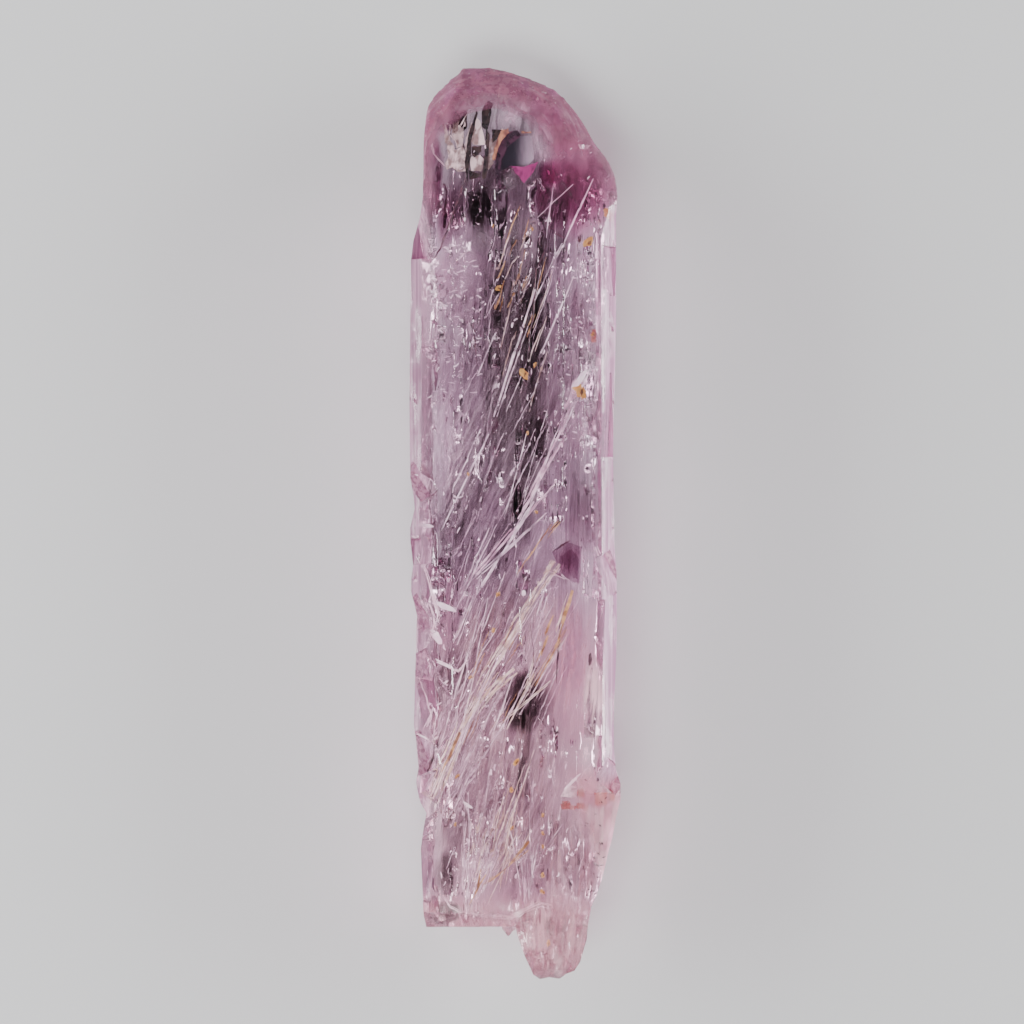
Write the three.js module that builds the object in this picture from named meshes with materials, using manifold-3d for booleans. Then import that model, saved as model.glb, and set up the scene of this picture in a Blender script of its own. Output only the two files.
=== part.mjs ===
// A gem-clear kunzite crystal (the pink variety of spodumene), lying on its broad back face as it does
// when it is set down on a table. It is one natural piece: a flat, lath-like prism, striated along its
// length, with an etched and rounded termination at one end, and at the other end a broken foot from
// which a narrower tongue runs on. Etching and small chips have nibbled its sharp corners.
//
// X runs across the broad faces, Y along the crystal towards its rounded termination, and Z up from the
// resting face. The origin is under the middle of the crystal. Lengths are millimetres, angles degrees.
import * as THREE from "three";
import { mergeVertices } from "three/addons/utils/BufferGeometryUtils.js";
import Module from "manifold-3d";

const wasm = await Module();
wasm.setup();

// ---------------------------------------------------------------- driving dimensions
const LENGTH = 120;
const WIDTH = 27.6;
const THICKNESS = 13;
const PRISM_ANGLE = 43.5; // between the broad face (100) and a prism face (110) of spodumene
const FRONT = { strips: 27, relief: 0.5, flush: 0.3 }; // growth strips, and how far they differ in height
const BACK = { strips: 17, relief: 0.35, flush: 0.62 };
const CLEAR = 3; // how far a cutting block stands out past the surface that it cuts

// ---------------------------------------------------------------- small tools
function solid(geometry) {
  const bare = geometry.clone();
  bare.deleteAttribute("normal");
  bare.deleteAttribute("uv");
  const merged = mergeVertices(bare, 1e-4);
  return new wasm.Manifold(
    new wasm.Mesh({
      numProp: 3,
      vertProperties: merged.attributes.position.array,
      triVerts: new Uint32Array(merged.index.array),
    }),
  );
}

// The direction of a face that leans from straight up (lean 0) to sideways (90) or down (180), towards
// `heading`, which is measured in the XY plane from +X round to +Y.
function facing(heading, lean) {
  const h = THREE.MathUtils.degToRad(heading);
  const l = THREE.MathUtils.degToRad(lean);
  return new THREE.Vector3(Math.sin(l) * Math.cos(h), Math.sin(l) * Math.sin(h), Math.cos(l));
}

// A block that fills everything past the plane through `at`, on the side that the face looks to.
function beyond({ at, heading, lean }) {
  const side = 3 * LENGTH;
  const up = new THREE.Vector3(0, 0, 1);
  const block = new THREE.BoxGeometry(side, side, side);
  block.translate(0, 0, side / 2);
  block.applyQuaternion(new THREE.Quaternion().setFromUnitVectors(up, facing(heading, lean)));
  return solid(block.translate(...at));
}

const cutFaces = (body, faces) => faces.reduce((made, face) => made.subtract(beyond(face)), body);

// An upright block with this outline, from one height to another.
function plate(outline, low, high) {
  const shape = new THREE.Shape(outline.map(([x, y]) => new THREE.Vector2(x, y)));
  const geometry = new THREE.ExtrudeGeometry(shape, { depth: high - low, bevelEnabled: false });
  return solid(geometry.translate(0, 0, low));
}

// A block of this size, turned about its own middle and set down with its middle at `at`.
function turnedBlock({ at, size, turn }) {
  const angles = turn.map(THREE.MathUtils.degToRad);
  const block = new THREE.BoxGeometry(...size);
  block.applyMatrix4(new THREE.Matrix4().makeRotationFromEuler(new THREE.Euler(...angles, "ZYX")));
  return solid(block.translate(...at));
}

// A repeatable stream of numbers from 0 to 1, so that growth and etching fall in the same places always.
function stream(seed) {
  let state = seed;
  return () => {
    state = (state * 1664525 + 1013904223) % 4294967296;
    return state / 4294967296;
  };
}

const between = (random, low, high) => low + (high - low) * random();

// ---------------------------------------------------------------- the outline, seen from the front
const LEFT_EDGE = [
  [-11.6, -52.9], [-11.9, -51.3], [-12.1, -47.7], [-12.3, -42.5], [-11.9, -39.7], [-11.6, -38.0],
  [-12.4, -36.6], [-12.9, -33.9], [-12.6, -31.9], [-13.2, -26.3], [-13.0, -18.1], [-12.8, -12.2],
  [-13.6, -8.9], [-13.6, -7.3], [-13.3, -5.7], [-13.7, -2.6], [-13.7, -0.7], [-13.1, 1.8],
  [-13.2, 3.2], [-13.7, 5.9], [-13.8, 15.5], [-13.6, 34.3], [-13.3, 36.8], [-12.3, 40.4],
  [-12.0, 42.5], [-12.0, 50.4], [-11.6, 54.6], [-10.7, 56.2], [-9.0, 58.2], [-7.6, 59.7],
];
const TOP_AND_RIGHT_EDGE = [
  [-6.8, 60.0], [-3.3, 60.0], [-0.5, 59.2], [2.4, 58.3], [5.0, 57.2], [6.5, 56.0],
  [8.2, 53.9], [9.5, 51.8], [10.4, 50.0], [11.7, 48.4], [12.6, 47.0], [13.2, 45.4],
  [13.4, 42.5], [13.2, 40.1], [13.2, 25.4], [12.9, 13.5], [12.8, 8.9], [13.0, -3.0],
  [13.3, -6.9], [13.3, -15.5], [12.9, -25.4], [12.9, -29.3], [13.2, -32.3], [13.8, -34.2],
  [13.8, -36.2], [13.2, -38.7], [12.7, -41.3], [12.0, -44.2], [11.3, -46.9], [10.9, -48.2],
  [10.0, -50.3], [9.6, -52.6],
];
const TONGUE_OUTLINE = [
  [9.6, -44.0], [9.6, -52.1], [9.4, -54.6], [8.9, -56.3], [8.5, -57.6], [7.8, -58.7],
  [6.7, -59.2], [5.9, -60.0], [4.5, -59.7], [3.3, -60.0], [2.4, -59.2], [1.3, -56.6],
  [0.5, -54.4], [-0.1, -52.4], [-0.4, -50.0], [1.4, -44.0],
];
const NUB_OUTLINE = [[0.6, -50.0], [0.2, -53.2], [-0.9, -54.5], [-1.7, -53.5], [-1.9, -50.0]];

// The foot broke off straight on the left, while the tongue on the right carries the front face on.
const BREAK_FACES = [
  { at: [-6.0, -50.7, THICKNESS], heading: -94, lean: 46 },
  { at: [1.6, -50.6, THICKNESS], heading: -58, lean: 36 },
  { at: [-6.0, -51.9, 0], heading: -84, lean: 132 },
];
const TONGUE_FACES = [
  { at: [0.6, -52.0, THICKNESS - 0.6], heading: 190, lean: 48 },
  { at: [5.0, -57.4, THICKNESS - 1.3], heading: -94, lean: 40 },
  { at: [5.0, -59.0, THICKNESS - 3.4], heading: -84, lean: 66 },
  { at: [9.0, -54.0, THICKNESS - 2.4], heading: -12, lean: 44 },
  { at: [4.0, -50.0, 2.2], heading: -92, lean: 158 },
  { at: [1.6, -54.0, 4.4], heading: 200, lean: 126 },
];

function blank() {
  const prism = cutFaces(plate([...LEFT_EDGE, ...TOP_AND_RIGHT_EDGE], 0, THICKNESS), BREAK_FACES);
  const tongue = cutFaces(plate(TONGUE_OUTLINE, 1.2, THICKNESS), TONGUE_FACES);
  const nub = plate(NUB_OUTLINE, THICKNESS * 0.34, THICKNESS * 0.66);
  return prism.add(tongue).add(nub);
}

// ---------------------------------------------------------------- growth strips of the broad faces
// Each broad face is a bundle of long, narrow strips, each at its own height and with a short, steep
// step to the next one. Heights drift along the crystal, so the strips pinch out and open up again.
const STATIONS = 13;
const RISER = 0.22; // width of the step between two strips
const HALF_SPAN = 16; // the bundle reaches past both sides of the crystal
const REACH = LENGTH / 2 + CLEAR;

function stripEdges(random, count) {
  const edges = Array.from({ length: count + 1 }, (_, i) => -HALF_SPAN + (2 * HALF_SPAN * i) / count);
  const spread = (0.62 * HALF_SPAN) / count;
  return edges.map((x) => x + between(random, -spread, spread));
}

// Depths below the face at every station: a slow drift between a few random levels. The `flush` share of
// them lie level with each other, and on the back they are what the crystal rests on.
function drift(random, { relief, flush }) {
  const levels = Array.from({ length: 5 }, () => relief * Math.max(0, (random() - flush) / (1 - flush)));
  return Array.from({ length: STATIONS + 1 }, (_, j) => {
    const place = (j / STATIONS) * (levels.length - 1);
    const k = Math.min(Math.floor(place), levels.length - 2);
    return THREE.MathUtils.lerp(levels[k], levels[k + 1], place - k);
  });
}

// One face as a list of profiles, one profile for each station, from -X to +X.
function stripProfiles(random, face) {
  const edges = stripEdges(random, face.strips);
  const lean = edges.map(() => between(random, -0.5, 0.5));
  const strips = edges.slice(1).map(() => [drift(random, face), drift(random, face)]);
  return Array.from({ length: STATIONS + 1 }, (_, j) => {
    const y = THREE.MathUtils.lerp(-REACH, REACH, j / STATIONS);
    const at = (i) => edges[i] + (lean[i] * y) / REACH;
    return strips.flatMap(([left, right], i) => [
      { x: at(i) + RISER / 2, y, depth: left[j] },
      { x: at(i + 1) - RISER / 2, y, depth: 0.65 * left[j] + 0.35 * right[j] },
    ]);
  });
}

function growthBundle() {
  const random = stream(41);
  const front = stripProfiles(random, FRONT);
  const back = stripProfiles(random, BACK);
  const rings = front.map((profile, j) => [
    ...back[j].map(({ x, y, depth }) => [x, y, depth]),
    ...profile.toReversed().map(({ x, y, depth }) => [x, y, THICKNESS - depth]),
  ]);
  const around = rings[0].length;
  const faces = [];
  for (let j = 0; j < STATIONS; j += 1) {
    for (let i = 0; i < around; i += 1) {
      const a = j * around + i;
      const b = j * around + ((i + 1) % around);
      faces.push(a, b + around, b, a, a + around, b + around);
    }
  }
  // the two ends, closed by the same triangles, turned over on the far one
  const end = rings[0].map(([x, , z]) => new THREE.Vector2(x, z));
  for (const [a, b, c] of THREE.ShapeUtils.triangulateShape(end, [])) {
    faces.push(a, b, c);
  }
  const farEnd = rings[STATIONS].map(([x, , z]) => new THREE.Vector2(x, z));
  for (const [a, b, c] of THREE.ShapeUtils.triangulateShape(farEnd, [])) {
    faces.push(...[a, c, b].map((corner) => corner + STATIONS * around));
  }
  const geometry = new THREE.BufferGeometry();
  geometry.setAttribute("position", new THREE.Float32BufferAttribute(rings.flat(2), 3));
  geometry.setIndex(faces);
  return solid(geometry);
}

// A smooth, level patch in the middle of the back, where one growth layer covers the strips.
const BACK_PLATEAU = [
  [-4.2, -18.0], [-1.0, -23.5], [3.2, -19.0], [4.4, 4.0], [2.2, 21.0], [-2.2, 16.5], [-4.6, 2.0],
];

// ---------------------------------------------------------------- the flat growth faces
const PRISM_FACES = [
  { at: [-11.9, 0, THICKNESS], heading: 180, lean: PRISM_ANGLE },
  { at: [10.9, 0, THICKNESS], heading: 0, lean: PRISM_ANGLE },
  { at: [-10.6, 0, 0], heading: 180, lean: 180 - PRISM_ANGLE },
  { at: [10.2, 0, 0], heading: 0, lean: 180 - PRISM_ANGLE },
  { at: [-6.5, 0, THICKNESS - 0.1], heading: 184, lean: 2.4 },
  { at: [6.0, 0, THICKNESS - 0.1], heading: -3, lean: 3.0 },
];

// Faces of the etched termination, front and back.
const CROWN_FACES = [
  { at: [0, 45.6, THICKNESS - 0.3], heading: 97, lean: 10 },
  { at: [5.9, 42.6, THICKNESS - 0.5], heading: 52, lean: 16 },
  { at: [-4.0, 55.0, 10.9], heading: 92, lean: 36 },
  { at: [-10.4, 52.0, 11.2], heading: 140, lean: 36 },
  { at: [4.0, 53.0, 10.8], heading: 64, lean: 33 },
  { at: [9.4, 47.0, 10.8], heading: 36, lean: 35 },
  { at: [-5.0, 58.9, 8.2], heading: 91, lean: 58 },
  { at: [-9.6, 55.9, 8.4], heading: 134, lean: 62 },
  { at: [3.5, 56.9, 8.2], heading: 66, lean: 60 },
  { at: [9.8, 50.4, 8.2], heading: 40, lean: 60 },
  { at: [-2.0, 50.0, 0], heading: 88, lean: 158 },
  { at: [-9.0, 46.0, 0.3], heading: 140, lean: 150 },
  { at: [8.5, 44.0, 0.3], heading: 42, lean: 150 },
  { at: [-3.0, 58.6, 2.7], heading: 90, lean: 120 },
  { at: [5.4, 54.2, 2.9], heading: 55, lean: 122 },
  { at: [-9.6, 54.6, 2.8], heading: 136, lean: 120 },
];

// The low right flank, where the prism narrows down to the tongue.
const FLANK_FACES = [
  { at: [12.2, -38.0, THICKNESS - 2.2], heading: -17, lean: 33 },
  { at: [11.0, -40.0, 1.2], heading: -20, lean: 146 },
];

// ---------------------------------------------------------------- ledges where growth layers stop
// A ledge is lower than the face around it and rises again along its `slope`, so that only its head and
// its long side show as a step. `depth` is how low it lies at its head.
const LEDGES = [
  // the smooth, clear window low on the right, with its peaked head
  {
    head: [4.4, -6.0], depth: 1.0, slope: 2.2,
    outline: [[4.4, -6.0], [7.2, -7.6], [9.4, -9.6], [14.5, -10.6], [14.5, -32.0], [6.0, -32.0], [2.4, -24.0],
      [0.6, -14.5], [2.2, -8.8]],
  },
  // the flat beside the left edge, low down, and the one above it
  {
    head: [-10.2, -13.0], depth: 0.8, slope: 1.8,
    outline: [[-14.5, -9.0], [-9.8, -13.2], [-8.0, -16.6], [-8.4, -32.0], [-14.5, -32.0]],
  },
  {
    head: [-9.4, 3.6], depth: 0.7, slope: 2.4,
    outline: [[-14.5, 2.4], [-10.6, 1.6], [-8.8, -0.2], [-8.0, -10.0], [-10.4, -16.0], [-14.5, -16.0]],
  },
  // the two hollows of the upper middle, under the termination
  {
    head: [-5.2, 43.4], depth: 0.8, slope: 3.2,
    outline: [[-6.4, 43.0], [-4.2, 44.0], [-2.6, 43.4], [-2.2, 34.0], [-3.0, 27.0], [-6.6, 27.0]],
  },
  {
    head: [3.6, 39.0], depth: 0.7, slope: 1.6,
    outline: [[2.0, 38.6], [3.4, 39.8], [5.2, 38.2], [5.8, 22.0], [4.4, 12.0], [1.6, 12.0], [0.8, 28.0]],
  },
  // the smooth hollow just above the break
  {
    head: [-1.6, -43.2], depth: 0.6, slope: 2.6,
    outline: [[-4.6, -45.4], [-1.4, -42.6], [2.0, -44.0], [3.6, -47.6], [2.4, -52.0], [-4.0, -52.0]],
  },
];

function ledge({ head, depth, slope, outline }) {
  const shape = new THREE.Shape(outline.map(([x, y]) => new THREE.Vector2(x - head[0], y - head[1])));
  const block = new THREE.ExtrudeGeometry(shape, { depth: CLEAR, bevelEnabled: false });
  block.rotateX(-THREE.MathUtils.degToRad(slope));
  return solid(block.translate(head[0], head[1], THICKNESS - depth));
}

// ---------------------------------------------------------------- chips and etched rungs
// Larger chips out of the long corners, each the flat bite of a leaning block.
const CHIPS = [
  { at: [-13.4, 5.2, 12.6], size: [4.6, 5.0, 2.4], turn: [-30, 34, 16] },
  { at: [-13.8, -3.6, 12.2], size: [4.0, 3.6, 3.0], turn: [-18, 40, -12] },
  { at: [-13.2, -12.4, 12.9], size: [5.0, 5.2, 2.4], turn: [-24, 26, 24] },
  { at: [-12.0, -21.4, 13.1], size: [5.6, 8.6, 2.2], turn: [-11, 21, 27] },
  { at: [-12.8, -30.0, 12.6], size: [4.6, 5.4, 3.0], turn: [-21, 34, 12] },
  { at: [-12.6, -37.6, 12.0], size: [3.2, 3.0, 4.0], turn: [-26, 42, 20] },
  { at: [-12.4, -45.4, 13.1], size: [3.4, 8.0, 2.4], turn: [6, 27, -4] },
  { at: [13.4, -6.4, 12.4], size: [3.6, 5.6, 2.8], turn: [18, -37, 14] },
  { at: [12.9, 14.0, 12.7], size: [2.6, 11.0, 2.4], turn: [4, -30, -3] },
  { at: [13.2, 33.0, 12.4], size: [3.0, 6.4, 2.6], turn: [-9, -36, 7] },
  { at: [13.7, -33.4, 12.2], size: [4.4, 3.4, 4.0], turn: [-22, -38, -16] },
  { at: [-13.2, 37.8, 12.6], size: [3.4, 7.0, 2.8], turn: [13, 32, 15] },
  { at: [-12.0, 29.0, 0.6], size: [4.0, 12.0, 2.6], turn: [3, -30, 4] },
  { at: [-12.0, -14.0, 0.7], size: [4.2, 16.0, 2.6], turn: [-3, -32, -4] },
  { at: [12.0, 16.0, 0.7], size: [4.0, 13.0, 2.6], turn: [3, 31, 4] },
  { at: [12.0, -24.0, 0.6], size: [4.2, 9.0, 2.6], turn: [-5, 30, -6] },
];

// A ladder of shallow rungs etched across a strip: the middle of the first and of the last rung.
const RUNG_LADDERS = [
  { first: [7.6, 31.0, THICKNESS], last: [8.4, 22.8, THICKNESS], rungs: 7, width: 2.4 },
  { first: [7.9, 15.6, THICKNESS], last: [8.4, 13.6, THICKNESS], rungs: 3, width: 1.8 },
  { first: [-9.4, 33.0, THICKNESS], last: [-9.0, 20.0, THICKNESS], rungs: 9, width: 2.2 },
];

function cutRungs(body) {
  const random = stream(17);
  let cut = body;
  for (const { first, last, rungs, width } of RUNG_LADDERS) {
    for (let i = 0; i < rungs; i += 1) {
      const at = first.map((start, axis) => THREE.MathUtils.lerp(start, last[axis], i / (rungs - 1)));
      at[1] += between(random, -0.25, 0.25);
      const size = [width * between(random, 0.6, 1.1), between(random, 0.7, 1.2), 1.0];
      const turn = [38, between(random, -6, 6), between(random, -16, 16)];
      cut = cut.subtract(turnedBlock({ at, size, turn }));
    }
  }
  return cut;
}

// Small nicks along a corner of the prism, each bitten out by a stretched octahedron.
const NICKED_CORNERS = [
  { x: -13.5, z: 11.9, from: -48, to: 36, count: 24, radius: [0.35, 0.8] },
  { x: 13.2, z: 11.2, from: -30, to: 40, count: 18, radius: [0.3, 0.7] },
  { x: -12.0, z: 1.0, from: -46, to: 40, count: 16, radius: [0.5, 1.1] },
  { x: 11.6, z: 1.0, from: -40, to: 40, count: 16, radius: [0.5, 1.1] },
];

function cutNicks(body) {
  const random = stream(11);
  let cut = body;
  for (const { x, z, from, to, count, radius } of NICKED_CORNERS) {
    for (let i = 0; i < count; i += 1) {
      const r = between(random, ...radius);
      const bite = new THREE.OctahedronGeometry(r, 0).scale(1, between(random, 1.2, 2.6), 0.8);
      bite.rotateZ(between(random, -0.7, 0.7));
      bite.rotateY(between(random, -0.8, 0.8));
      bite.translate(x + between(random, -0.5, 0.5), between(random, from, to), z + 0.3 * r);
      cut = cut.subtract(solid(bite));
    }
  }
  return cut;
}

// ---------------------------------------------------------------- etch pits and grooves
// Spodumene dissolves into three-sided pits that all point the same way along the crystal.
const PITTED_PATCHES = [
  { count: 46, from: [-11.0, 12.0], to: [-4.6, 38.0], radius: [0.35, 0.85] },
  { count: 26, from: [5.6, 8.0], to: [10.6, 36.0], radius: [0.3, 0.7] },
  { count: 18, from: [5.4, -50.0], to: [10.4, -33.0], radius: [0.3, 0.7] },
  { count: 20, from: [-10.6, -10.0], to: [-2.4, 12.0], radius: [0.3, 0.7] },
];

function cutPits(body) {
  const random = stream(23);
  let cut = body;
  for (const { count, from, to, radius } of PITTED_PATCHES) {
    for (let i = 0; i < count; i += 1) {
      const r = between(random, ...radius);
      const pit = new THREE.ConeGeometry(r, r * 1.2, 3).rotateX(-Math.PI / 2).scale(1, 1.5, 1);
      const x = between(random, from[0], to[0]);
      const y = between(random, from[1], to[1]);
      cut = cut.subtract(solid(pit.translate(x, y, THICKNESS - 0.1)));
    }
  }
  return cut;
}

// The narrow sides carry long V grooves, one above the other.
function cutSideGrooves(body) {
  const random = stream(5);
  let cut = body;
  for (const side of [-1, 1]) {
    for (let z = 0.24 * THICKNESS; z < 0.78 * THICKNESS; z += 1.05) {
      const blade = new THREE.OctahedronGeometry(1, 0).scale(1.1, between(random, 10, 24), 0.42);
      cut = cut.subtract(solid(blade.translate((side * WIDTH) / 2, between(random, -16, 24), z)));
    }
  }
  return cut;
}

// ---------------------------------------------------------------- the crystal
function geometryOf(body) {
  const { numProp, vertProperties, triVerts } = body.getMesh();
  const corners = new Float32Array(triVerts.length * 3);
  triVerts.forEach((vertex, i) => {
    corners.set(vertProperties.subarray(vertex * numProp, vertex * numProp + 3), i * 3);
  });
  const geometry = new THREE.BufferGeometry();
  geometry.setAttribute("position", new THREE.BufferAttribute(corners, 3));
  geometry.computeVertexNormals();
  return geometry;
}

let body = blank().intersect(growthBundle()).add(plate(BACK_PLATEAU, 0, BACK.relief));
body = cutFaces(body, [...PRISM_FACES, ...CROWN_FACES, ...FLANK_FACES]);
body = LEDGES.reduce((made, place) => made.subtract(ledge(place)), body);
body = CHIPS.reduce((made, chip) => made.subtract(turnedBlock(chip)), body);
body = cutSideGrooves(cutPits(cutNicks(cutRungs(body))));

const kunzite = new THREE.MeshStandardMaterial({ color: 0xd9a9c6, roughness: 0.18, metalness: 0 });
const crystal = new THREE.Mesh(geometryOf(body), kunzite);
crystal.name = "kunzite_crystal";

const group = new THREE.Group();
group.add(crystal);
export default group;
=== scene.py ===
import math
import random

import bmesh
import bpy
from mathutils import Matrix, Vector, noise
from mathutils.bvhtree import BVHTree


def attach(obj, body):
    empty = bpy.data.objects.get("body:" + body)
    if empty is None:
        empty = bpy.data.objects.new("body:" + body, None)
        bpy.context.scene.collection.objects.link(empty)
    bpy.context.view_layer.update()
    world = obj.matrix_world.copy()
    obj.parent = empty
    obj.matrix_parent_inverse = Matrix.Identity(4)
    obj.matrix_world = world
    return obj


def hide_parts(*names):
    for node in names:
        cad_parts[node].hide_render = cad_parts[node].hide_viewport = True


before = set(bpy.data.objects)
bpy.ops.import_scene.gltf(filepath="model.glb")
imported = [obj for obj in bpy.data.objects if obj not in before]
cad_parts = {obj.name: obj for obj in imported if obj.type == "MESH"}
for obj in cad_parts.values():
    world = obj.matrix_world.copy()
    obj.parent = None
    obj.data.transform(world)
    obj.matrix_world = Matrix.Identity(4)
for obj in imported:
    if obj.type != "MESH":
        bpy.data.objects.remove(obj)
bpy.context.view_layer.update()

# ================================================================ the crystal
# One crystal of gem-clear spodumene, pink from a trace of manganese. It grew in long, striated layers,
# and later fluids etched its skin, most of all on the back, and frosted its rounded end. The solid is
# cut finer here, so that the etching can be worked into its faces.
MM = 0.001
COLUMN = 0.24 * MM  # cells across the crystal, fine enough to carry striations
ROW = 0.8 * MM  # cells along it
LAYER = 0.9 * MM  # cells up its rounded end
SLIVER = 0.08 * MM  # cells narrower than this are kept level
CROWN_START = 44.5 * MM  # where its rounded end begins
CROWN_WEAR = 10  # rounds of smoothing that take the edges off the etched end
STEP_WEAR = 36  # and off the steps between growth layers
WINDOW_MIDDLE = Vector((-3.2, 46.6, 0))  # of the clear window in the rounded end (mm)
WINDOW_HALF = (7.6, 8.2)  # its half width and half height
SPODUMENE_IOR = 1.666
BODY_TINT = (0.97, 0.42, 0.80, 1)  # what the body of the crystal lets through
BODY_DENSITY = 11.0  # and how strongly it takes the rest away, per metre
LAMP_TINT = (0.62, 0.50, 0.57, 1)  # of lamplight that has come in through the skin

# Places on the back that etching cut into steep teeth: from, to (mm), and how many columns of cells wide
# one tooth is. Light from the front turns round in a tooth, so that these places look dark.
TOOTHED = [
    ((-6.4, 38.6), (-2.4, 43.8), 6),
    ((0.3, 19.8), (3.5, 29.6), 6),
    ((-3.2, 20.0), (-1.6, 34.0), 6),
    ((2.4, 8.0), (4.5, 14.0), 6),
    ((-0.9, 0.2), (1.3, 4.0), 6),
]
# Smooth places on the back, with their half widths (mm), where the etching hardly bit.
SMOOTH = [
    ((7.6, -18.0), (4.4, 11.5)),
    ((-1.8, -47.6), (3.4, 3.2)),
    ((-4.5, 36.4), (1.8, 1.8)),
    ((1.0, 48.6), (3.0, 4.0)),
    ((2.6, -2.6), (2.6, 4.6)),
    ((7.0, -5.2), (2.8, 3.8)),
]
# Places on the front that etching roughened, with their half widths (mm). The rest of it is glassy.
ROUGHENED = [
    ((-8.4, 27.0), (4.4, 11.0)),
    ((8.4, 20.0), (2.8, 15.0)),
    ((-10.4, -6.0), (2.4, 14.0)),
    ((-6.0, -39.0), (5.0, 9.0)),
    ((10.6, -42.0), (3.4, 11.0)),
    ((5.0, -54.0), (5.0, 7.0)),
]


def ramp(low, high, value):
    """0 below low, 1 above high, and a smooth step between them."""
    t = min(1, max(0, (value - low) / (high - low)))
    return t * t * (3 - 2 * t)


def past(part, start):
    """Whether a vertex, edge or face lies further along the crystal than `start`."""
    corners = [part] if isinstance(part, bmesh.types.BMVert) else part.verts
    return min(v.co.y for v in corners) > start


def cut_cells(mesh, axis, step, start=None):
    """Cuts the faces, or those past `start`, with evenly spaced planes square to an axis."""
    places = [v.co[axis] for v in mesh.verts]
    low = min(places)
    normal = [0, 0, 0]
    normal[axis] = 1
    for i in range(1, int((max(places) - low) / step)):
        plane = [0, 0, 0]
        plane[axis] = low + i * step
        parts = mesh.verts[:] + mesh.edges[:] + mesh.faces[:]
        if start is not None:
            parts = [part for part in parts if past(part, start)]
        bmesh.ops.bisect_plane(mesh, geom=parts, dist=1e-8, plane_co=plane, plane_no=normal)


def grain(p, across, along, seed, lean=0.0):
    """Noise drawn out along the crystal, -1 to 1. With a lean, its streaks run off to the right going up."""
    return noise.noise(((p.x - lean * p.y) * across, p.y * along, p.z * across + seed))


def within(p, places, sharpness):
    """1 in the middle of any of these oval places, and 0 outside them."""
    most = 0
    for (x, y), (wide, tall) in places:
        reach = math.hypot((p.x - x) / wide, (p.y - y) / tall)
        most = max(most, 1 - ramp(sharpness, 1.1, reach))
    return most


def tooth(p, column):
    """How much of a toothed place there is here, 0 to 1, and how deep its teeth are cut (mm)."""
    for (x0, y0), (x1, y1), wide in TOOTHED:
        wander = 0.5 * noise.noise((p.x * 1.3, x0, 3))
        share = ramp(x0 - 0.2, x0 + 0.6, p.x) * ramp(x1 + 0.2, x1 - 0.6, p.x)
        share *= ramp(y0 + wander - 0.5, y0 + wander + 0.8, p.y)
        share *= ramp(y1 + wander + 0.5, y1 + wander - 0.8, p.y)
        if share > 0:
            bite = ramp(-0.35, 0.15, noise.noise((p.x * 0.9, p.y * 0.5, 5)))
            return share, abs(column % wide - wide / 2) * COLUMN / MM * bite
    return 0, 0


def back_relief(p, column):
    """How far etching has eaten into the back here (mm)."""
    share, cut = tooth(p, column)
    rough = (1 - 0.88 * within(p, SMOOTH, 0.75)) * (1 - 0.6 * ramp(45, 51, p.y))
    rough *= 1 - 0.75 * ramp(-4.5, -2, p.x + 0.3 * p.y) * ramp(-31, -35, p.y)
    broad = abs(grain(p, 0.7, 0.045, 7))
    leaning = abs(grain(p, 1.0, 0.09, 19, 0.36))
    fine = abs(grain(p, 1.9, 0.12, 31))
    dimples = abs(noise.noise((p.x * 0.5, p.y * 0.22, 3)))
    relief = rough * (1.0 * broad + 0.5 * leaning + 0.4 * fine + 0.3 * dimples)
    return relief + (cut - relief) * share


def etched(place, normal, column):
    """How far etching has eaten into a point of the skin (mm)."""
    p = place / MM
    back = ramp(-0.75, -0.97, normal.z) * ramp(5, 3, p.z)
    crown = ramp(45, 51, p.y)
    stripes = grain(p, 1.9, 0.035, 7)
    fine = grain(p, 4.1, 0.09, 31)
    dimples = noise.noise((p.x * 0.85, p.y * 0.6, p.z * 0.85 + 3))
    frost = noise.noise((p.x * 1.6, p.y * 1.6, p.z * 1.6 + 11))
    steep = ramp(0.25, 0.6, abs(normal.x)) * ramp(-34, -30, p.y)
    share = (0.25 + 0.75 * within(p, ROUGHENED, 0.4)) * (1 - 0.75 * steep)
    front = (1 - crown) * share * (0.06 * stripes + 0.03 * fine + 0.085 * dimples) + crown * 0.05 * frost
    return front + (back_relief(p, column) - front) * back if back > 0 else front


def wear_down(verts, rounds):
    """Draws vertices towards their neighbours, and more to far ones, which evens out the cells."""
    for _ in range(rounds):
        moved = []
        for v in verts:
            weights = [min(edge.calc_length(), ROW) for edge in v.link_edges]
            spots = [edge.other_vert(v).co * weight for edge, weight in zip(v.link_edges, weights)]
            moved.append(v.co.lerp(sum(spots, Vector()) / sum(weights), 0.5))
        for v, spot in zip(verts, moved):
            v.co = spot


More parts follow.
